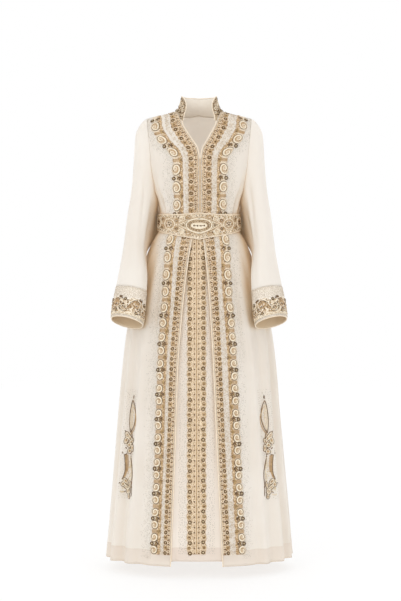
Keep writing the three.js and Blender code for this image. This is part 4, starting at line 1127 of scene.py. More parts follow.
def sewn_tree():
    tree, start, add = new_tree("sewn on", Trim="Object", Tilt="Float", Turn="Float", Unevenness="Float",
        Seed="Int", Finish="Material")

    def attribute(name, kind):
        return add("GeometryNodeInputNamedAttribute", data_type=kind, Name=name).outputs["Attribute"]

    def maths(operation, first, second):
        return add("ShaderNodeMath", first, second, operation=operation).outputs[0]

    def drawn(kind, low, high):
        node = add("FunctionNodeRandomValue", data_type=kind, Seed=start["Seed"])
        for label, value in (("Min", low), ("Max", high)):
            tree.links.new(value, next(i for i in node.inputs if i.name == label and i.enabled))
        return next(o for o in node.outputs if o.enabled)

    align = "FunctionNodeAlignRotationToVector"
    upright = add(align, axis="Z", Vector=attribute("out", "FLOAT_VECTOR")).outputs["Rotation"]
    facing_up = attribute("up", "FLOAT_VECTOR")
    turned = add(align, axis="Y", pivot_axis="Z", Rotation=upright, Vector=facing_up).outputs["Rotation"]
    limits = []
    for sign in (-1.0, 1.0):
        tilt = maths("MULTIPLY", start["Tilt"], sign)
        turn = maths("MULTIPLY", start["Turn"], sign)
        limits.append(add("ShaderNodeCombineXYZ", tilt, tilt, turn).outputs[0])
    lean = add("FunctionNodeEulerToRotation", drawn("FLOAT_VECTOR", *limits)).outputs[0]
    loose = add("FunctionNodeRotateRotation", rotation_space="LOCAL", Rotation=turned, Rotate_By=lean)
    uneven = start["Unevenness"]
    growth = drawn("FLOAT", maths("SUBTRACT", 1.0, uneven), maths("ADD", 1.0, uneven))
    size = maths("MULTIPLY", growth, attribute("size", "FLOAT"))
    trim = add("GeometryNodeObjectInfo", Object=start["Trim"]).outputs["Geometry"]
    on = add("GeometryNodeInstanceOnPoints", Points=start["Geometry"], Instance=trim, Scale=size)
    tree.links.new(loose.outputs["Rotation"], on.inputs["Rotation"])
    return ended(tree, add, on.outputs["Instances"], start["Finish"])


SEWN_TREE = sewn_tree()


def sewn(name, places, trim, material, tilt=0.0, turn=0.0, uneven=0.08, seed=1, flat=False):
    """Trims at places, a list of (points, out, up, sizes) in millimetres, joined into one piece."""
    points, out, up, sizes = (np.concatenate([np.asarray(p[k], float) for p in places]) for k in range(4))
    base = mesh_object(name + "_places", points)
    new_attribute = base.data.attributes.new
    for label, values in (("out", out), ("up", up)):
        new_attribute(label, "FLOAT_VECTOR", "POINT").data.foreach_set("vector", values.ravel())
    new_attribute("size", "FLOAT", "POINT").data.foreach_set("value", sizes)
    settings = dict(Tilt=tilt, Turn=turn, Unevenness=uneven, Seed=seed)
    piece = grown(name, base, SEWN_TREE, Trim=trim, Finish=material, **settings)
    if flat:
        piece.data.polygons.foreach_set("use_smooth", [False] * len(piece.data.polygons))
    print(name, len(points), "sewn on,", len(piece.data.polygons), "faces")
    return finished(piece, material)


def spots(ribbon, a, s, size, lift=0.0, lean=0.0):
    """Places for trims of a size at (a, s), each with its up turned by lean from the way along."""
    a, s, size, lean = (np.atleast_1d(x).astype(float) for x in np.broadcast_arrays(a, s, size, lean))
    points, out, along, across = framed(ribbon, a, s, SEAM + lift)
    up = along * np.cos(lean)[:, None] + across * np.sin(lean)[:, None]
    return points, out, up, size


# %% [markdown]
# ## The small shapes
# A bead is a low dome, a sequin a shallow six-sided cup, a leaf a pointed pad with a ridge, and a rosette
# a ring of seven petals round a bright heart. Each is a closed shape of a few dozen faces and a millimetre
# across or long, so that the size attribute reads as millimetres.

# %% The small shapes


def dome(sides, rings, height, x=0.0, y=0.0, radius=0.5, first=0):
    """A closed dome: rings of points up to an apex, and a flat underside."""
    points, faces = [], []
    for k in range(rings):
        angle = k / rings * math.pi / 2
        for i in range(sides):
            turn = 2 * math.pi * i / sides
            wide = radius * math.cos(angle)
            points.append((x + wide * math.cos(turn), y + wide * math.sin(turn), height * math.sin(angle)))
    points.append((x, y, height))
    for k in range(rings - 1):
        for i in range(sides):
            j = (i + 1) % sides
            low, high = first + k * sides, first + (k + 1) * sides
            faces.append((low + i, low + j, high + j, high + i))
    top = first + (rings - 1) * sides
    apex = first + rings * sides
    faces.extend((top + i, top + (i + 1) % sides, apex) for i in range(sides))
    faces.append(tuple(first + i for i in reversed(range(sides))))
    return points, faces


def petal_ring(count, out, radius, height):
    points, faces = [], []
    for k in range(count):
        turn = 2 * math.pi * k / count
        more, shapes = dome(6, 2, height, out * math.cos(turn), out * math.sin(turn), radius, len(points))
        points += more
        faces += shapes
    return points, faces


def leaf_shape():
    """A pointed leaf, one long and 0.4 wide, that grows along Y, with a raised ridge."""
    rim = [(0, 0), (0.13, 0.18), (0.2, 0.42), (0.13, 0.72), (0, 1), (-0.13, 0.72), (-0.2, 0.42),
        (-0.13, 0.18)]
    points = [(x, y, 0) for x, y in rim] + [(0, 0.22, 0.12), (0, 0.48, 0.17), (0, 0.76, 0.1)]
    faces = [(0, 1, 8), (1, 2, 9, 8), (2, 3, 10, 9), (3, 4, 10)]
    faces += [(4, 5, 10), (5, 6, 9, 10), (6, 7, 8, 9), (7, 0, 8), (7, 6, 5, 4, 3, 2, 1, 0)]
    return points, faces


def sequin_shape():
    """A six-sided cup, one across, with its middle a little lower than its rim."""
    rim = [(0.5 * math.cos(k * math.pi / 3), 0.5 * math.sin(k * math.pi / 3)) for k in range(6)]
    points = [(x, y, 0.16) for x, y in rim] + [(0, 0, 0.07)] + [(0.8 * x, 0.8 * y, 0) for x, y in rim]
    faces = [(k, (k + 1) % 6, 6) for k in range(6)]
    faces += [(7 + k, 7 + (k + 1) % 6, (k + 1) % 6, k) for k in range(6)]
    faces.append((12, 11, 10, 9, 8, 7))
    return points, faces


def stitch_shape():
    points, faces = dome(6, 1, 0.2)
    return [(0.32 * x, y, z) for x, y, z in points], faces


BEAD = mesh_object("bead", *dome(6, 2, 0.42))
GRAIN = mesh_object("grain", *dome(5, 1, 0.5))
PETALS = mesh_object("petals", *petal_ring(7, 0.34, 0.15, 0.16))
LEAF = mesh_object("leaf", *leaf_shape())
SEQUIN = mesh_object("sequin", *sequin_shape())
STITCH = mesh_object("stitch", *stitch_shape())
print("petals", len(PETALS.data.polygons), "faces, leaf", len(LEAF.data.polygons))

# %% [markdown]
# ## Threads, beads and stitched grounds
# Gold thread is a metal foil wound on a core, so it is part metal and broken up by its windings. Bronze
# beads and silver sequins are polished, but each one lies a little differently. The ground behind the
# motifs is filled with close couching: small cells of light and dark thread, as a net is laid.

# %% Threads, beads and stitched grounds


def polished(name, light, dark, rough_low, rough_high, metal):
    """Beads and sequins: a polished face whose tone and roughness change from piece to piece."""
    material, shader, add, fill = node_material(name)
    place = add("ShaderNodeTexCoord").outputs["Object"]
    patch = add("ShaderNodeTexNoise", Scale=260.0, Detail=1.0, Vector=place).outputs["Fac"]
    tone = tinted(add, patch, linear(*dark), linear(*light)).outputs["Color"]
    rough = add("ShaderNodeMapRange", To_Min=rough_low, To_Max=rough_high, Value=patch).outputs["Result"]
    fill(shader, Base_Color=tone, Roughness=rough, Metallic=metal)
    return material


def couched_ground(name, light, middle, dark, cell=0.0036, bump=0.7, lining=None, open_from=None):
    """Close couching: rounded cells of thread in three tones, with raised middles. A lining's colour shows
    on the inner face. From `open_from`, metres across the strip, the work is open and mostly pale."""
    material, shader, add, fill = node_material(name)
    place = add("ShaderNodeTexCoord").outputs
    cells = add("ShaderNodeTexVoronoi", Scale=1 / cell, feature="F1", Vector=place["UV"]).outputs["Distance"]
    fine = add("ShaderNodeTexNoise", Scale=420.0, Detail=2.0, Vector=place["Object"]).outputs["Fac"]
    uneven = add("ShaderNodeMath", fine, 0.5, cells, operation="MULTIPLY_ADD").outputs[0]
    shifted = add("ShaderNodeMath", uneven, 0.22, operation="SUBTRACT").outputs[0]
    tone = tinted(add, shifted, linear(*light), linear(*dark), (0.12, 0.62))
    tone.color_ramp.elements.new(0.36).color = linear(*middle)
    colour = tone.outputs["Color"]
    if open_from is not None:
        across = add("ShaderNodeSeparateXYZ", place["UV"]).outputs["X"]
        step = add("ShaderNodeMapRange", From_Min=open_from, From_Max=open_from + 0.003, Value=across)
        pale = tinted(add, fine, linear(206, 184, 154), linear(240, 228, 208)).outputs["Color"]
        colour = blended(add, step.outputs["Result"], colour, pale)
    if lining is not None:
        within = add("ShaderNodeAttribute", attribute_name="inside").outputs["Fac"]
        colour = blended(add, within, colour, linear(*lining))
    relief = add("ShaderNodeBump", Strength=bump, Distance=0.0006, Height=uneven,
        invert=True).outputs["Normal"]
    fill(shader, Base_Color=colour, Normal=relief, Roughness=0.55, Metallic=0.1)
    return material


GOLD = thread_like("gold thread", (222, 192, 142), (178, 146, 98), 0.42, 0.4, 0.0012)
PALE = thread_like("pale gold thread", (252, 243, 224), (238, 222, 194), 0.4, 0.08, 0.0014)
TAN = thread_like("tan silk thread", (212, 180, 136), (180, 146, 106), 0.5, 0.15, 0.0012)
BROWN = thread_like("brown silk thread", (140, 110, 78), (104, 80, 56), 0.5, 0.15, 0.0012)
BRONZE = polished("bronze beads", (132, 100, 62), (80, 58, 36), 0.25, 0.5, 0.75)
PEARL = polished("pale hearts", (240, 226, 190), (214, 190, 140), 0.25, 0.45, 0.3)
SILVER = polished("silver sequins", (238, 226, 208), (186, 170, 148), 0.3, 0.55, 0.25)
GREY = polished("grey grains", (206, 200, 188), (168, 162, 150), 0.3, 0.6, 0.35)
FLOWER_GROUND = couched_ground("flower band ground", (248, 230, 202), (220, 190, 152), (154, 124, 90))
SCROLL_GROUND = couched_ground("scroll band ground", (250, 234, 210), (234, 210, 176), (176, 144, 108),
    open_from=0.0125)
NET_GROUND = couched_ground("net ground", (250, 235, 210), (234, 210, 176), (190, 162, 128), cell=0.003)
BELT_GROUND = couched_ground("belt ground", (252, 244, 230), (246, 232, 210), (200, 176, 144), cell=0.0034,
    lining=(238, 226, 210))
COLLAR_GROUND = couched_ground("collar ground", (244, 230, 208), (222, 200, 168), (156, 132, 100), cell=0.003,
    lining=(240, 232, 220))
CUFF_GROUND = couched_ground("cuff ground", (250, 244, 235), (244, 235, 223), (220, 209, 193), cell=0.003,
    bump=0.4, lining=(216, 194, 162))
CUFF_WORK = couched_ground("cuff work ground", (252, 245, 231), (246, 234, 214), (204, 182, 152), cell=0.0042)
MEDALLION_GROUND = couched_ground("medallion ground", (250, 242, 226), (224, 206, 176), (160, 136, 104),
    cell=0.003)
STITCHING = thread_like("ivory sewing thread", (230, 218, 200), (212, 198, 178), 0.6, 0.0)

# %% [markdown]
# ## The bands on the fronts
# Two bands run beside each opening from the shoulder to a hand above the hem. The inner one carries dark
# rosettes between paler ones, the outer one C-scrolls back to back with rosettes and leaf stars in between.
# Their places come from one table, as distances over the cloth from the front edge.

# %% Where the bands run
BANDS = table("flower inside outside", [(HEM, 24, 37, 76), (-620, 27, 39, 79), (-430, 34, 49, 90),
    (-247, 35, 50, 92), (-170, 35, 52, 95), (-110, 39, 64, 112), (-66, 38, 64, 112), (-42, 31, 58, 104),
    (SHOULDER, 22, 46, 88)])
BAND_FOOT = -1426
SCROLL_SHIFT = {"left": 5.0, "right": -3.5}  # how far out each skirt band lies from the table's place
FLOWER_USUAL, SCROLL_USUAL = 26.0, 40.0


def band_reach(v):
    return BANDS["flower"](v) / FLOWER_USUAL


def scroll_reach(v):
    return (BANDS["outside"](v) - BANDS["inside"](v)) / SCROLL_USUAL


def scroll_middle(shift):
    return lambda v: (BANDS["inside"](v) + BANDS["outside"](v)) / 2 + shift * ease((-500 - v) / 300)


FLOWER_BANDS, SCROLL_BANDS, GAP_BANDS, OUTER_BANDS = {}, {}, {}, {}
for side, sheet in FRONTS.items():
    span = (BAND_FOOT, SHOULDER - 1.5)
    FLOWER_BANDS[side] = Ribbon(sheet, *span, lambda v: BANDS["flower"](v) / 2, band_reach)
    SCROLL_BANDS[side] = Ribbon(sheet, *span, scroll_middle(SCROLL_SHIFT[side]), scroll_reach)
    GAP_BANDS[side] = Ribbon(sheet, *span, lambda v: (BANDS["flower"](v) + BANDS["inside"](v)) / 2)
    OUTER_BANDS[side] = Ribbon(sheet, HEM + 22, SHOULDER - 3, BANDS["outside"])
print("flower band", round(FLOWER_BANDS["left"].length), "mm, scroll band",
    round(SCROLL_BANDS["left"].length), "mm")
# Where the scrolls start, and the room of one scroll near the hem and near the belt.
SCROLL_START, SCROLL_FOOT, SCROLL_HEAD = -5.4, 39.4, 58.0


def scroll_room(s):
    return mix(SCROLL_FOOT, SCROLL_HEAD, ease((s - 520) / 420))


def scroll_places(length):
    """Where the scrolls stand along a band, each with the room it takes."""
    places, s = [], SCROLL_START
    while s + scroll_room(s) < length - 2:
        room = scroll_room(s)
        places.append((s + room / 2, room))
        s += room
    return places


# %% The stitched grounds
SCROLLS = scroll_places(SCROLL_BANDS["left"].length)


def scroll_outline(s):
    """The outer edge of the scroll band's ground: a lobe for each scroll, drawn in between them."""
    edge = np.full(len(s), 8.0)
    for middle, room in SCROLLS:
        half = room * 0.4
        reach = np.clip(1 - ((s - middle) / half) ** 2, 0, 1)
        edge = np.maximum(edge, 2 + 13.5 * np.sqrt(reach))
    return edge


def scalloped(base, deep, pitch):
    return lambda s: base + deep * np.abs(np.sin(np.pi * s / pitch))


ROSETTE_ROOM, ROSETTE_ROOM_ABOVE = 32.4, 37.5  # from rosette to rosette on the skirt and on the bodice


def rosette_places(length):
    places = [6.0]
    while places[-1] < length - 6 - ROSETTE_ROOM_ABOVE:
        places.append(places[-1] + mix(ROSETTE_ROOM, ROSETTE_ROOM_ABOVE, ease((places[-1] - 850) / 250)))
    return np.array(places)


for side in HALVES:
    ground(f"flower_ground_{side}", FLOWER_BANDS[side], lambda s: -11.6 + 0 * s, scalloped(10.5, 2.6,
        ROSETTE_ROOM / 2), FLOWER_GROUND, [f"flower_band_{side}"])
    ground(f"scroll_ground_{side}", SCROLL_BANDS[side], scalloped(-17.5, -2.0, 20.5), scroll_outline,
        SCROLL_GROUND, [f"scroll_band_{side}"])

# %% [markdown]
# ## C-scrolls
# A C-scroll is a couched cord that sweeps round most of a ring and then coils in to its heart. A pale
# cord makes the body, with a thin brown cord outside it. The curve is one rule, an angle and a radius that
# shrinks, and neighbours are mirrored so that they stand back to back.

# %% C-scrolls
COIL_TURNS, COIL_POINTS = 1.55, 34


def coil(middle, wide, tall, hand, way=1, grow=0.0, turns=COIL_TURNS, start=-0.62):
    """A C-scroll's path: (across, along). It starts towards the vine, sweeps round and coils in."""
    t = np.linspace(0, 1, COIL_POINTS)
    angle = math.pi * (1 + start) + way * 2 * math.pi * turns * t
    shrink = 1 - 0.8 * ease((t - 0.42) / 0.58)
    across = middle[0] + (wide * shrink + grow) * np.cos(angle)
    along = middle[1] + hand * (tall * shrink + grow) * np.sin(angle)
    return pairs(across, along)


def ring_path(middle, wide, tall, points=24):
    t = np.linspace(0, 2 * math.pi, points + 1)
    return pairs(middle[0] + wide * np.cos(t), middle[1] + tall * np.sin(t))


SCROLL_CENTRE = 3.6
for side in HALVES:
    band = SCROLL_BANDS[side]
    body, outline, heart = [], [], []
    for k, (s, room) in enumerate(SCROLLS):
        wide, tall = 8.6 + 2.0 * (room - SCROLL_FOOT) / 18, room * 0.24
        hand = -1 if k % 2 else 1
        place = (SCROLL_CENTRE, s)
        body.append(laid(band, coil(place, wide, tall, hand, turns=1.0), 1.9))
        body.append(laid(band, coil(place, wide, tall, hand, grow=2.1, turns=0.96), 1.8))
        outline.append(laid(band, coil(place, wide, tall, hand, grow=4.7, turns=0.94), 1.5))
        heart.append(laid(band, coil(place, wide - 2.6, tall - 2.8, -hand, turns=2.2), 1.6))
    cords(f"scroll_cords_{side}", body, 2.5, PALE, 6)
    cords(f"scroll_outlines_{side}", outline, 2.1, BROWN, 5, slot="gold_thread")
    cords(f"scroll_hearts_{side}", heart, 2.0, TAN, 5)

# %% [markdown]
# ## Vines, leaves and bars
# On its inner side each scroll band has a wandering vine with leaves to both sides. Where two scrolls meet
# there is in turn a rosette with a leaf star beside it, and a pair of short bars with a leaf.

# %% Vines, leaves and bars
VINE_MIDDLE, VINE_SWING, LEAF_PITCH = -12.5, 2.2, 10.0
rosettes = {side: [] for side in HALVES}
for side in HALVES:
    band = SCROLL_BANDS[side]
    length = band.length
    s = np.arange(2, length - 2, 3.0)
    vine = pairs(VINE_MIDDLE + VINE_SWING * np.sin(2 * np.pi * s / 41), s)
    bars, vine_leaves, brown_leaves, gold_leaves = [], [], [], []
    for k, leaf_s in enumerate(np.arange(6, length - 8, LEAF_PITCH)):
        way = 1 if k % 2 else -1
        vine_leaves.append(spots(band, VINE_MIDDLE + way * 0.6, leaf_s, 9.5, 0.8, way * 0.75))
    joints = [s0 + room / 2 for s0, room in SCROLLS]
    for k, joint in enumerate(joints):
        if k % 2 == 0:
            rosettes[side].append((10.0, joint))
            for lean in np.radians([0, 52, 104, 180, 256, 308]):
                brown_leaves.append(spots(band, -7.5, joint, 10.5, 1.2, lean))
            for lean in np.radians([-20, -90, -160]):
                gold_leaves.append(spots(band, -1.0, joint, 8.5, 1.3, lean))
        else:
            for step in (-4.2, -1.4, 1.4, 4.2):
                bars.append(laid(band, [(-6, joint + step), (3, joint + step), (11, joint + step)], 1.5))
            for lean in np.radians([-40, -90, -140]):
                gold_leaves.append(spots(band, -7.0, joint, 13.0, 1.2, lean))
            for lean in np.radians([-65, -115]):
                brown_leaves.append(spots(band, -11.0, joint, 9.0, 1.4, lean))
    cords(f"vine_{side}", [laid(band, vine, 1.5)], 1.7, GOLD, 5)
    cords(f"scroll_bars_{side}", bars, 1.9, TAN, 5)
    sewn(f"pale_vine_leaves_{side}", vine_leaves[1::2], LEAF, PALE, 0.05, 0.2, 0.1, 2)
    sewn(f"vine_leaves_{side}", vine_leaves[::2], LEAF, GOLD, 0.05, 0.2, 0.1, 3)
    sewn(f"star_leaves_{side}", brown_leaves, LEAF, BROWN, 0.05, 0.1, 0.08, 4)
    sewn(f"bar_leaves_{side}", gold_leaves, LEAF, GOLD, 0.05, 0.1, 0.08, 5)

# %% [markdown]
# ## Rosettes and beads
# The inner band has its dark rosettes at an even pitch, with a paler one between each two, and a column
# of dark beads next to the piping. Dark rosettes of the outer band sit on its outer edge.

# %% Rosettes and beads
DARK_ROSETTE, PALE_ROSETTE, SMALL_PITCH = 12.0, 12.5, 14.4
for side in HALVES:
    flower, scroll = FLOWER_BANDS[side], SCROLL_BANDS[side]
    s = rosette_places(flower.length)
    halfway = (s[:-1] + s[1:]) / 2
    dark = [spots(flower, 6.0, s, DARK_ROSETTE, 0.8)]
    dark += [spots(scroll, a, joint, DARK_ROSETTE * 1.2, 1.0) for a, joint in rosettes[side]]
    pale = [spots(flower, 5.6, halfway, PALE_ROSETTE, 0.8)]
    small = np.arange(4, flower.length - 4, SMALL_PITCH)
    hearts = [(p, n, u, size * 0.34) for p, n, u, size in dark]
    beads = [spots(flower, -4.6, small, 4.8, 0.8)]
    beads += [spots(flower, 5.6, halfway, 4.0, 0.9)]
    sewn(f"dark_rosettes_{side}", dark, PETALS, BRONZE, 0.04, 0.3, 0.06, 6)
    sewn(f"pale_rosettes_{side}", pale, PETALS, GOLD, 0.04, 0.3, 0.06, 7)
    sewn(f"rosette_hearts_{side}", hearts, BEAD, PEARL, 0.05, 0.3, 0.05, 8)
    sewn(f"edge_beads_{side}", beads, BEAD, BRONZE, 0.06, 0.3, 0.12, 9)
    rings = [laid(flower, ring_path((-5.0, x + SMALL_PITCH / 2), 2.8, 4.4, 14), 1.3) for x in small]
    rings += [laid(flower, ring_path((6.0, x), 7.4, 8.0, 18), 1.2) for x in s]
    line = np.arange(2, flower.length - 2, 5.0)
    rings.append(laid(flower, pairs(0 * line - 10.2, line), 1.2))
    cords(f"flower_rings_{side}", rings, 1.3, PALE, 5)

# %% [markdown]
# ## Sequins
# The gap between the bands is strewn with champagne sequins that let the cloth show, and outside the scrolls
# small grains are scattered more and more thinly, so that the work fades into the plain cloth.

# %% Sequins
SEQUIN_SIZE, SEQUIN_STEP, SEQUIN_SHARE = 3.2, 3.4, 0.62
GRAIN_REACH = 34.0


def scattered(ribbon, low, high, step, seed, start=0.0, stop=None):
    """A loose grid of places between two lines of a ribbon."""
    draw = np.random.default_rng(seed)
    rows = np.arange(start + 2, (stop or ribbon.length) - 2, step)
    columns = np.arange(low, high + 0.01, step)
    a, s = np.meshgrid(columns, rows)
    a = a + draw.uniform(-0.35, 0.35, a.shape) * step
    s = s + draw.uniform(-0.35, 0.35, s.shape) * step
    return a.ravel(), s.ravel()


for k, side in enumerate(HALVES):
    a, s = scattered(GAP_BANDS[side], -7.5, 7.5 + SCROLL_SHIFT[side], SEQUIN_STEP, 51 + k)
    keep = np.random.default_rng(57 + k).uniform(0, 1, len(a)) < SEQUIN_SHARE
    sewn(f"silver_sequins_{side}", [spots(GAP_BANDS[side], a[keep], s[keep], SEQUIN_SIZE, 0.0)], SEQUIN,
        SILVER, 0.3, 3.0, 0.15, 10, flat=True)
    a, s = scattered(OUTER_BANDS[side], -10, GRAIN_REACH, 4.2, 61 + k)
    keep = np.random.default_rng(71 + k).uniform(0, 1, len(a)) > np.clip(a / GRAIN_REACH, 0, 1) ** 0.9
    sewn(f"grey_grains_{side}", [spots(OUTER_BANDS[side], a[keep], s[keep], 2.0, 0.0)], GRAIN, GREY, 0.1, 3.0,
        0.3, 11, flat=True)

# %% [markdown]
# ## The under-panel's strip
# The strip down the under-panel has its own middle line, a little to the wearer's right. Two columns of dark
# rosettes stand towards its edges with paler flowers between them, which scallop the edge. Two rows of small
# beads follow the corded middle.

# %% The under-panel's strip
STRIP_FOOT, STRIP_HEAD = -1424, -392
ROSETTE_COLUMN, STRIP_PITCH, BEAD_COLUMN, BEAD_PITCH = 21, 32.4, 7.0, 16.2
under_tape = np.linspace(0, 1, UNDER_COLUMNS)
strip_middles = [np.interp(UNDER_MIDDLE, row[:, 0], under_tape * length) for row, length in zip(UNDER.points,
    UNDER.lengths)]
STRIP = Ribbon(UNDER, STRIP_FOOT, STRIP_HEAD, lambda v: np.interp(v, UNDER.values, strip_middles))


def strip_edge(half, s):
    between_rosettes = np.abs(np.sin(np.pi * (s - 4) / STRIP_PITCH))
    return half * (UNDER_STRIP - 4.5 + 4.0 * between_rosettes)


ground("under_strip_ground", STRIP, lambda s: strip_edge(-1, s), lambda s: strip_edge(1, s), NET_GROUND,
    ["under_strip"], columns=17)
dark, hearts, pale, rings = [], [], [], []
s = np.arange(4, STRIP.length - 8, STRIP_PITCH)
for half in (-1, 1):
    shift = 1.5 * half
    dark.append(spots(STRIP, half * ROSETTE_COLUMN, s + shift, 14.0, 0.8))
    hearts.append(spots(STRIP, half * ROSETTE_COLUMN, s + shift, 5.4, 1.2))
    pale.append(spots(STRIP, half * (ROSETTE_COLUMN + 2.5), s[:-1] + STRIP_PITCH / 2 + shift, 13.5, 0.8))
    for x in s[:-1] + STRIP_PITCH / 2 + shift:
        rings.append(laid(STRIP, ring_path((half * (ROSETTE_COLUMN + 2.5), x), 8.2, 7.6, 16), 1.3))
    line = np.arange(2, STRIP.length - 2, 4.0)
    for a in (3.2, 11.5):
        rings.append(laid(STRIP, pairs(half * a + 0.6 * np.sin(line / 4), line), 1.3))
sewn("strip_rosettes", dark, PETALS, BRONZE, 0.05, 0.5, 0.08, 21)
sewn("strip_hearts", hearts, BEAD, PEARL, 0.05, 0.3, 0.05, 22)
sewn("strip_flowers", pale, PETALS, GOLD, 0.05, 0.5, 0.1, 23)
small = np.arange(3, STRIP.length - 3, BEAD_PITCH)
beads = [spots(STRIP, half * BEAD_COLUMN, small, 4.6, 0.8) for half in (-1, 1)]
beads += [spots(STRIP, half * (ROSETTE_COLUMN + 2.5), s[:-1] + STRIP_PITCH / 2, 4.4, 1.3) for half in (-1, 1)]
sewn("strip_beads", beads, BEAD, BRONZE, 0.06, 0.3, 0.14, 24)
cords("strip_rings", rings, 1.3, PALE, 5)
line = np.arange(1, STRIP.length - 1, 5.0)
cords("strip_middle_cord", [laid(STRIP, pairs(0 * line, line), 1.6)], 2.2, TAN, 6)
grains = []
for half in (-1, 1):
    a, s = scattered(STRIP, UNDER_STRIP + 2, UNDER_STRIP + 26, 5.4, 25 + half)
    grains.append(spots(STRIP, half * a, s, 2.0, 0.0))
sewn("strip_grains", grains, GRAIN, GREY, 0.1, 3.0, 0.3, 26, flat=True)

# %% [markdown]
# ## The belt and its medallion
# In the belt's middle a pointed oval is couched in heavy cord round a bright heart with a row of dark beads.
# Leaves radiate from it, and a longer pointed frame joins it to the lobes at both sides. The lobes repeat
# all round the belt, because a belt is worked as one strip.

# %% The belt and its medallion
belt.data.materials[0] = BELT_GROUND
WAIST = Girdle(BELT_SHEET, 0.5)
OVAL_LONG, OVAL_TALL, HEART_LONG, HEART_TALL = 41, 22, 25, 9.5
FRAME_LONG, FRAME_TALL, FRAME_POWER = 72, 29, 1.35
LOBE_PITCH, LOBE_LONG, LOBE_TALL = 60, 20, 17


def pointed(long, tall, power, points=41):
    """A pointed oval's path round the belt's middle: (across, along)."""
    t = np.linspace(-1, 1, points)
    upper = pairs(tall * (1 - np.abs(t) ** power), long * t)
    lower = upper[::-1] * np.array([-1, 1])
    return np.concatenate([upper, lower[1:]])


def tall_at(s, long, tall, power):
    return tall * (1 - 0.94 * np.clip(np.abs(s) / long, 0, 1) ** power)


ground("medallion_ground", WAIST, lambda s: -tall_at(s, 63, 25, 1.6), lambda s: tall_at(s, 63, 25, 1.6),
    MEDALLION_GROUND, ["belt_medallion"], columns=13, span=(-63, 63), thick=1.6)
ground("medallion_heart", WAIST, lambda s: -np.sqrt(np.maximum(HEART_TALL**2 * (1 - (s / HEART_LONG) ** 2),
    0.1)), lambda s: np.sqrt(np.maximum(HEART_TALL**2 * (1 - (s / HEART_LONG) ** 2), 0.1)), PALE,
    columns=7, step=1.6, span=(-HEART_LONG, HEART_LONG), thick=2.4)
heavy = [laid(WAIST, ring_path((0, 0), OVAL_TALL, OVAL_LONG, 56), 3.2)]
heavy.append(laid(WAIST, ring_path((0, 0), HEART_TALL, HEART_LONG, 40), 3.2))
fine = [laid(WAIST, ring_path((0, 0), OVAL_TALL - 3.6, OVAL_LONG - 4, 48), 3.0)]
fine.append(laid(WAIST, pointed(FRAME_LONG, FRAME_TALL, FRAME_POWER), 2.6))
fine.append(laid(WAIST, ring_path((0, 0), HEART_TALL + 3, HEART_LONG + 3.6, 44), 3.0))
frame_cord = [laid(WAIST, pointed(FRAME_LONG - 5, FRAME_TALL - 3, FRAME_POWER), 2.8)]
fringe, darks = [], []
for k in range(30):
    angle = 2 * math.pi * (k + 0.5) / 30
    a, s = (OVAL_TALL + 1.5) * math.sin(angle), (OVAL_LONG + 1.5) * math.cos(angle)
    lean = math.atan2(math.sin(angle) * 1.6, math.cos(angle))
    fringe.append(spots(WAIST, a, s, 8.0, 1.6, lean))
for k in range(22):
    angle = 2 * math.pi * (k + 0.5) / 22
    darks.append(spots(WAIST, (OVAL_TALL - 8) * math.sin(angle), (OVAL_LONG - 9) * math.cos(angle), 3.0, 2.3))
for s in (-16.5, -5.6, 5.6, 16.5):
    darks.append(spots(WAIST, 0, s, 6.6, 2.3))
for s in (-10.8, 10.8, 0):
    darks.append(spots(WAIST, 0, s, 3.2, 2.3))
for half in (-1, 1):
    darks.append(spots(WAIST, half * 25.5, 0, 5.0, 1.4))
    darks.append(spots(WAIST, 0, half * 51, 5.0, 2.0))
lobes = np.arange(101, BELT_SHEET.lengths.min() / 2 - LOBE_LONG, LOBE_PITCH)
lobe_rings, scrolls, petals, leaves = [], [], [], []
for half in (-1, 1):
    for way in (-1, 1):
        lobe_rings.append(laid(WAIST, coil((way * 21, half * 56), 8, 10, half * way, half), 1.9))
        scrolls.append(laid(WAIST, coil((way * 28, half * 34), 5.5, 8, half * way, -half), 1.7))
        scrolls.append(laid(WAIST, coil((way * 13, half * 76), 6, 7, -half * way, half), 1.7))
        for s, lean in ((44, 0.9), (66, 1.3), (24, 0.6), (78, 0.5)):
            leaves.append(spots(WAIST, way * 25, half * s, 9.0, 1.0, way * half * lean))
        darks.append(spots(WAIST, way * 23, [half * 44, half * 68, half * 47], [4.5, 4.5, 3.5], 1.0))
for middle in lobes:
    for half in (-1, 1):
        s = half * middle
        lobe_rings.append(laid(WAIST, ring_path((0, s), LOBE_TALL, LOBE_LONG, 30), 1.9))
        for way in (-1, 1):
            scrolls.append(laid(WAIST, coil((way * 12, s + half * 27), 7, 8, way * half, half), 1.8))
            petals.append(spots(WAIST, way * 14, s - half * 27, 10.0, 1.0))
            for step in (-24, 0, 24):
                lean = math.atan2(way * 1.0, step / 40)
                leaves.append(spots(WAIST, way * (LOBE_TALL + 1.5), s + step * 0.5, 8.0, 1.0, lean))
        for a, b, size in [(3, -6, 5.2), (-3, 0, 5.6), (4, 5, 5.0), (-4, 10, 3.6), (6, -1, 3.2), (-6, -8, 3.6)]:
            darks.append(spots(WAIST, a, s + half * b, size, 1.0))
        fine.append(laid(WAIST, ring_path((0, s), LOBE_TALL - 4.5, LOBE_LONG - 5, 26), 1.8))
cords("medallion_ovals", heavy, 3.4, PALE, 7)
cords("belt_frames", fine, 1.8, TAN, 5)
cords("belt_pale_frame", frame_cord, 2.4, PALE, 6)
cords("belt_lobes", lobe_rings, 2.8, PALE, 6)
cords("belt_scrolls", scrolls, 2.2, TAN, 5)
sewn("medallion_leaves", fringe, LEAF, PALE, 0.08, 0.12, 0.1, 31)
sewn("belt_leaves", leaves, LEAF, GOLD, 0.08, 0.2, 0.1, 32)
sewn("belt_beads", darks, BEAD, BRONZE, 0.06, 0.3, 0.1, 33)
sewn("belt_rosettes", petals, PETALS, BRONZE, 0.05, 0.5, 0.08, 34)
edge_beads, scallops = [], []
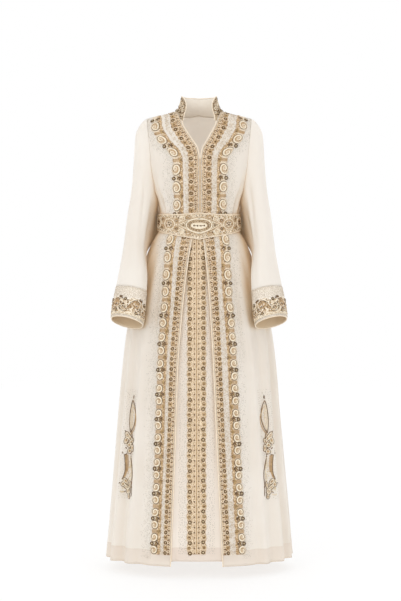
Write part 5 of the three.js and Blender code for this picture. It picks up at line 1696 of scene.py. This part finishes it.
for way, line in ((-1, 1.0), (1, 0.0)):
    edge = Girdle(BELT_SHEET, line, way=way)
    s = np.arange(-edge.length / 2 + 5, edge.length / 2 - 5, 11.0)
    edge_beads.append(spots(edge, 5.0, s, 3.4, 0.2))
    t = np.arange(-edge.length / 2 + 3, edge.length / 2 - 3, 1.8)
    scallops.append(laid(edge, pairs(3.0 + 5.0 * np.abs(np.sin(np.pi * t / 11.0)), t), 0.9))
sewn("belt_edge_beads", edge_beads, BEAD, BRONZE, 0.06, 0.3, 0.2, 35)
cords("belt_scallops", scallops, 1.6, PALE, 5)

# %% [markdown]
# ## The cuffs
# A cuff is worked from its edge upwards: a row of pearls, scallops, then S-scrolls with leaves and dark
# rosettes, and above them grains scattered evenly next to the seam.

# %% The cuffs
CUFF_UNIT, SCROLL_LINE = 76.0, 37.0
for k, side in enumerate(HALVES):
    edge = Girdle(CUFFS[side], 1.0, centre=0.25, way=-1)
    seam = Girdle(CUFFS[side], CUFF_SEAM, centre=0.25)
    units = int(round(edge.length / CUFF_UNIT))
    pitch = edge.length / units
    cuffs[side].data.materials[0] = CUFF_GROUND
    ground(f"cuff_work_{side}", edge, lambda s: 7.0 + 0 * s,
        lambda s: 60 + 5 * np.sin(2 * np.pi * s / pitch) + 2 * np.sin(6 * np.pi * s / pitch), CUFF_WORK,
        columns=16, span=(-edge.length / 2, edge.length / 2 - 0.5))
    tan_cords, dark_cords, pale_cords = [], [], []
    leaves, tan_leaves, darks, roses, hearts = [], [], [], [], []
    for unit_number in range(units):
        s0 = (unit_number - units / 2 + 0.5) * pitch
        t = np.linspace(0, 1, 22)
        swing = pairs(SCROLL_LINE + 15 * np.sin((t - 0.5) * 5.2), s0 + (t - 0.5) * 50)
        for grow, store in ((0.0, tan_cords), (3.2, dark_cords)):
            path = swing + np.array([grow, grow * 0.4])
            store.append(laid(edge, path, 1.6))
        tan_cords.append(laid(edge, coil((SCROLL_LINE + 8, s0 + 20), 11, 11, 1, -1), 1.9))
        dark_cords.append(laid(edge, coil((SCROLL_LINE + 8, s0 + 20), 11, 11, 1, -1, grow=2.6, turns=0.8),
            1.6))
        pale_cords.append(laid(edge, coil((SCROLL_LINE - 9, s0 - 19), 9.5, 10, 1), 1.9))
        dark_cords.append(laid(edge, coil((SCROLL_LINE - 9, s0 - 19), 9.5, 10, 1, grow=2.6, turns=0.8), 1.6))
        for j in range(7):
            u = j / 6
            a, s = SCROLL_LINE + 15 * math.sin((u - 0.5) * 5.2), s0 + (u - 0.5) * 50
            leaves.append(spots(edge, a + 3, s, 9.5, 0.8, 1.1 - 0.5 * u))
            tan_leaves.append(spots(edge, a - 3, s, 8.5, 0.8, -1.9 + 0.6 * u))
        for lean in (0.5, 1.1, 1.7, 2.3):
            leaves.append(spots(edge, SCROLL_LINE + 22, s0 + 34, 11.0, 1.0, lean))
        for a, s, size in [(18, s0 + 22, 11.5), (57, s0 - 18, 12.0), (30, s0 + pitch / 2, 10.0)]:
            roses.append(spots(edge, a, s, size, 0.8))
            hearts.append(spots(edge, a, s, size * 0.38, 1.2))
        draw = np.random.default_rng(200 + unit_number)
        darks.append(spots(edge, draw.uniform(16, 62, 26), s0 + draw.uniform(-pitch / 2, pitch / 2, 26), 4.2,
            0.9))
        a, s = draw.uniform(14, 60, 26), s0 + draw.uniform(-pitch / 2, pitch / 2, 26)
        tan_leaves.append(spots(edge, a, s, 9.0, 0.9, draw.uniform(-3, 3, 26)))
        a, s = draw.uniform(14, 60, 9), s0 + draw.uniform(-pitch / 2, pitch / 2, 9)
        leaves.append(spots(edge, a, s, 8.0, 1.0, draw.uniform(-3, 3, 9)))
        for a, s, radius in [(20, s0 + 2, 6), (22, s0 - 34, 7), (52, s0 + 2, 6), (46, s0 - 33, 7)]:
            pale_cords.append(laid(edge, ring_path((a, s), radius, radius, 16), 1.4))
    t = np.arange(-edge.length / 2, edge.length / 2 - 1, 2.0)
    pale_cords.append(laid(edge, pairs(9.5 + 5.5 * np.abs(np.sin(np.pi * t / 14)), t), 1.3))
    pale_cords.append(laid(edge, pairs(0 * t + 7.5, t), 1.2))
    cords(f"cuff_scrolls_{side}", tan_cords, 2.8, TAN, 5)
    cords(f"cuff_outlines_{side}", dark_cords, 1.7, BROWN, 5)
    cords(f"cuff_pale_cords_{side}", pale_cords, 2.0, PALE, 5)
    sewn(f"cuff_leaves_{side}", leaves, LEAF, BROWN, 0.06, 0.2, 0.12, 41 + k)
    sewn(f"cuff_tan_leaves_{side}", tan_leaves, LEAF, TAN, 0.06, 0.2, 0.12, 43 + k)
    sewn(f"cuff_rosettes_{side}", roses, PETALS, BRONZE, 0.05, 0.5, 0.08, 45 + k)
    sewn(f"cuff_hearts_{side}", hearts, BEAD, PEARL, 0.05, 0.3, 0.05, 47 + k)
    sewn(f"cuff_beads_{side}", darks, BEAD, BRONZE, 0.06, 0.3, 0.2, 49 + k)
    row = np.arange(-edge.length / 2, edge.length / 2 - 2, 5.0)
    sewn(f"cuff_pearls_{side}", [spots(edge, 4.0, row, 4.0, 0.6)], BEAD, SILVER, 0.1, 0.3, 0.1, 51)
    a, s = scattered(seam, 1.5, 34, 4.2, 53 + k, -seam.length / 2, seam.length / 2)
    sewn(f"cuff_grains_{side}", [spots(seam, a, s, 2.6, 0.3)], SEQUIN, SILVER, 0.25, 3.0, 0.2, 55 + k,
        flat=True)

# %% [markdown]
# ## The collar's embroidery
# The collar carries on the inner band's work. Its height changes along it, so each trim is placed at a share
# of the height, and it is left out where the collar is too low to hold it.

# %% The collar's embroidery
collar.data.materials[0] = COLLAR_GROUND
COLLAR_LINE = Girdle(COLLAR, 0.0)
COLLAR_PITCH = 23.0
coils, rings, roses, hearts, darks, leaves = [], [], [], [], [], []
reach = COLLAR_LINE.length / 2 - 8
for k, s in enumerate(np.arange(-reach, reach + 1, COLLAR_PITCH)):
    tall = float(COLLAR_LINE.height(s))
    if tall < 14:
        continue
    wide = min(10.0, tall * 0.22)
    hand = 1 if k % 2 else -1
    coils.append(laid(COLLAR_LINE, coil((tall * 0.62, s), wide, wide, hand), 1.3))
    rings.append(laid(COLLAR_LINE, ring_path((tall * 0.62, s), wide + 2.4, wide + 2.4), 1.1))
    roses.append(spots(COLLAR_LINE, min(9.0, tall * 0.22), s, 11.0, 0.3))
    hearts.append(spots(COLLAR_LINE, min(9.0, tall * 0.22), s, 4.0, 0.6))
    for way in (-1, 1):
        darks.append(spots(COLLAR_LINE, tall - 5, s + way * 5.5, 3.8, 0.2))
        darks.append(spots(COLLAR_LINE, tall * 0.62 + way * (wide + 6), s + COLLAR_PITCH / 2, 4.2, 0.2))
        leaves.append(spots(COLLAR_LINE, tall * 0.5, s + COLLAR_PITCH / 2, min(10.0, tall * 0.25), 0.3,
            way * 0.9))
cords("collar_scrolls", coils, 2.0, PALE, 5)
cords("collar_rings", rings, 1.4, TAN, 5)
sewn("collar_rosettes", roses, PETALS, BRONZE, 0.05, 0.5, 0.08, 61)
sewn("collar_hearts", hearts, BEAD, PEARL, 0.05, 0.3, 0.05, 62)
sewn("collar_beads", darks, BEAD, BRONZE, 0.06, 0.3, 0.15, 63)
sewn("collar_leaves", leaves, LEAF, BROWN, 0.06, 0.2, 0.12, 64)

# %% [markdown]
# ## The side motifs
# A long motif stands alone on each side of the skirt: a pointed leaf at the top, a knot of loops, and a long
# paisley that ends in a spray of loops. Its paths are drawn once and laid on both fronts.

# %% The side motifs
MOTIF_LOW, MOTIF_HIGH, MOTIF_SHIFT = -1260, -905, 13
PLEAT_REACH, PLEAT_SHARE = np.arange(-64, 65, 4.0), 0.6
LEAF_FOOT, LEAF_TOP, LEAF_HALF, LEAF_BOW = 213, 318, 12.5, 6.0


def leaf_side(way, half, foot, top, power=0.85):
    """One side of the pointed leaf, which bows towards the front edge: (across, along)."""
    bulge = np.sin(np.pi * np.linspace(0, 1, 26))
    return pairs(way * half * bulge**power - LEAF_BOW * bulge, np.linspace(foot, top, 26))


def leaning_ring(middle, wide, tall, lean):
    turn = np.array([[math.cos(lean), math.sin(lean)], [-math.sin(lean), math.cos(lean)]])
    return ring_path((0, 0), wide, tall) @ turn + middle


def as_hung(motif, path):
    """The path widened where a pleat turns the cloth away, as a motif is drawn on the hanging skirt."""
    path = np.asarray(path, float)
    wider = path.copy()
    for k, (across, along) in enumerate(path):
        row = laid(motif, pairs(PLEAT_REACH, 0 * PLEAT_REACH + along), 0)
        out = np.maximum.accumulate(np.abs(row[:, 0]) + 1e-4 * PLEAT_REACH)
        target = np.interp(0, PLEAT_REACH, out) + across
        wider[k, 0] = mix(across, np.interp(target, out, PLEAT_REACH), PLEAT_SHARE)
    return wider


KNOT = [((9, 204), 5, 11, -0.5), ((1, 196), 4, 12, -0.6), ((12, 188), 5, 10, 0.3), ((-7, 184), 4, 10, 0.5),
    ((1, 173), 6, 6, 0.0), ((-12, 164), 4, 9, -0.2), ((-2, 153), 6, 6, 0.4)]
SPRAY = [((12, 46), 5, 6, 0.0), ((4, 56), 4, 10, -0.7), ((0, 37), 4, 11, -0.9), ((-9, 24), 7, 8, 0.0),
    ((-14, 44), 3, 10, 0.2), ((-13, 8), 4, 6, 0.0)]
DARK_PATHS = [leaf_side(1, LEAF_HALF, LEAF_FOOT, LEAF_TOP), leaf_side(-1, LEAF_HALF, LEAF_FOOT, LEAF_TOP),
    [(15, 141), (13, 132), (10, 112), (9, 98), (9, 86), (12, 74), (16, 62)], [(-9, 131), (-13, 118),
    (-19, 102), (-23, 88), (-25, 73), (-24, 58), (-23, 44), (-25, 30), (-27, 16)], [(-2, 222), (-6, 206),
    (-9, 194), (-7, 180)]]
TAN_PATHS = [leaf_side(-1, LEAF_HALF + 4.5, LEAF_FOOT - 6, LEAF_TOP - 16), [(11, 140), (8, 118), (6, 100),
    (6.5, 84), (11, 68)], [(8, 142), (5, 118), (3.5, 100), (4, 84), (8, 70)], [(4, 140), (1, 118), (0, 100),
    (1, 86)], *(leaning_ring(middle, wide * 0.3, tall * 0.3, lean) for middle, wide, tall,
    lean in KNOT + SPRAY)]
PALE_PATHS = [leaf_side(1, LEAF_HALF - 3.0, LEAF_FOOT + 12, LEAF_TOP - 14), leaf_side(-1, LEAF_HALF - 3.0,
    LEAF_FOOT + 12, LEAF_TOP - 14), leaf_side(1, 2.5, LEAF_FOOT + 16, LEAF_TOP - 26), [(-6, 134), (-10, 112),
    (-15, 94), (-17, 76), (-16, 60)], [(18, 62), (12, 56), (5, 44), (-4, 32), (-13, 20)],
    *(leaning_ring(*ring) for ring in KNOT + SPRAY)]
MOTIF_LEAVES = [(-2, 322, 15, 0.0), (8, 160, 9, 0.8), (0, 160, 9, -0.6), (6, 146, 9, 2.6), (-2, 148, 9, -2.4),
    (9, 142, 8, 1.6), (20, 143, 8, 0.3), (-9, 133, 8, 0.4), (21, 52, 8, 2.2), (-5, 36, 9, -0.5),
    (-13, 32, 9, 0.5), (2, 24, 9, 2.4), (-24, 44, 8, -2.6), (-27, 18, 9, 3.0), (3, 58, 8, 0.3),
    (14, 214, 8, 0.8), (-10, 172, 8, -1.2)]
for k, (side, sheet) in enumerate(FRONTS.items()):
    motif = Ribbon(sheet, MOTIF_LOW, MOTIF_HIGH, lambda v: (BANDS["outside"](v) + np.interp(v, sheet.values,
        sheet.lengths)) / 2 - MOTIF_SHIFT)
    edges = [leaning_ring(middle, wide + 2.2, tall + 2.2, lean) for middle, wide, tall, lean in KNOT + SPRAY]
    for name, paths, lift, thickness, material, sides, more in (
        ("outlines", DARK_PATHS, 1.2, 2.2, BROWN, 6, {"replaces": [f"skirt_motif_{side}"]}),
        ("knot_edges", edges, 1.0, 1.8, BROWN, 5, {"slot": "gold_thread"}),
        ("tan_cords", TAN_PATHS, 1.0, 2.6, TAN, 6, {}),
        ("pale_cords", PALE_PATHS, 1.3, 2.4, PALE, 6, {}),
    ):
        paths = [laid(motif, as_hung(motif, path), lift) for path in paths]
        cords(f"motif_{name}_{side}", paths, thickness, material, sides, **more)
    leaves = []
    for a, s, size, lean in MOTIF_LEAVES:
        leaves.append(spots(motif, as_hung(motif, [(a, s)])[0, 0], s, size, 0.2, lean))
    draw = np.random.default_rng(301 + k)
    beads = [spots(motif, draw.uniform(-20, -4, 26), draw.uniform(56, 122, 26), 3.4, 0.2)]
    beads.append(spots(motif, draw.uniform(-16, 18, 18), draw.uniform(12, 56, 18), 3.6, 0.2))
    beads.append(spots(motif, draw.uniform(-8, 18, 16), draw.uniform(150, 206, 16), 3.6, 0.2))
    beads.append(spots(motif, [-3, -5, -6, -5], [246, 262, 278, 294], 3.6, 0.2))
    sewn(f"motif_leaves_{side}", leaves, LEAF, BROWN, 0.06, 0.1, 0.1, 71 + k)
    sewn(f"motif_beads_{side}", beads, BEAD, PEARL, 0.06, 0.3, 0.2, 73 + k)
    a, s = scattered(motif, -30, 28, 7.0, 75 + k)
    grains = [spots(motif, a, s, 1.9, 0.0)]
    sewn(f"motif_grains_{side}", grains, GRAIN, GREY, 0.1, 3.0, 0.3, 77, flat=True)

# %% [markdown]
# ## Stitches
# The seams are closed by machine, but the turned hems are caught down with small even stitches that show on
# the face. One row runs round the skirt above the hem, and one round each sleeve above its cuff.

# %% Stitches
STITCH_PITCH, HEM_TURN = 5.0, 46
rows = []
for sheet in (*FRONTS.values(), BACK):
    at = HEM + HEM_TURN
    long = float(np.interp(at, sheet.values, sheet.lengths))
    line = Girdle(sheet, at, centre=0.0)
    line.length = long
    s = np.arange(3, long - 3, STITCH_PITCH)
    points, out, up, across = framed(line, 0, s)
    rows.append((points + out * 0.1, out, up, np.full(len(s), 2.6)))
for side in HALVES:
    line = Girdle(SLEEVES[side], CUFF_SEAM - 0.006, centre=0.0)
    s = np.arange(0, line.length, STITCH_PITCH)
    points, out, up, across = framed(line, 0, s)
    rows.append((points + out * 0.1, out, up, np.full(len(s), 2.4)))
sewn("hem_stitches", rows, STITCH, STITCHING, 0.03, 0.08, 0.1, 81)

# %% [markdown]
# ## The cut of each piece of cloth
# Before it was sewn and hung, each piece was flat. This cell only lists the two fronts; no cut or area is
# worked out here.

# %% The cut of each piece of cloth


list(fronts.values())
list(fronts.values())
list(fronts.values())

# %% [markdown]
# ## Sizes and finish
# The small shapes have done their work as patterns and are taken away.

# %% Taking the patterns away
for pattern in (BEAD, GRAIN, PETALS, LEAF, SEQUIN, STITCH):
    bpy.data.objects.remove(pattern)
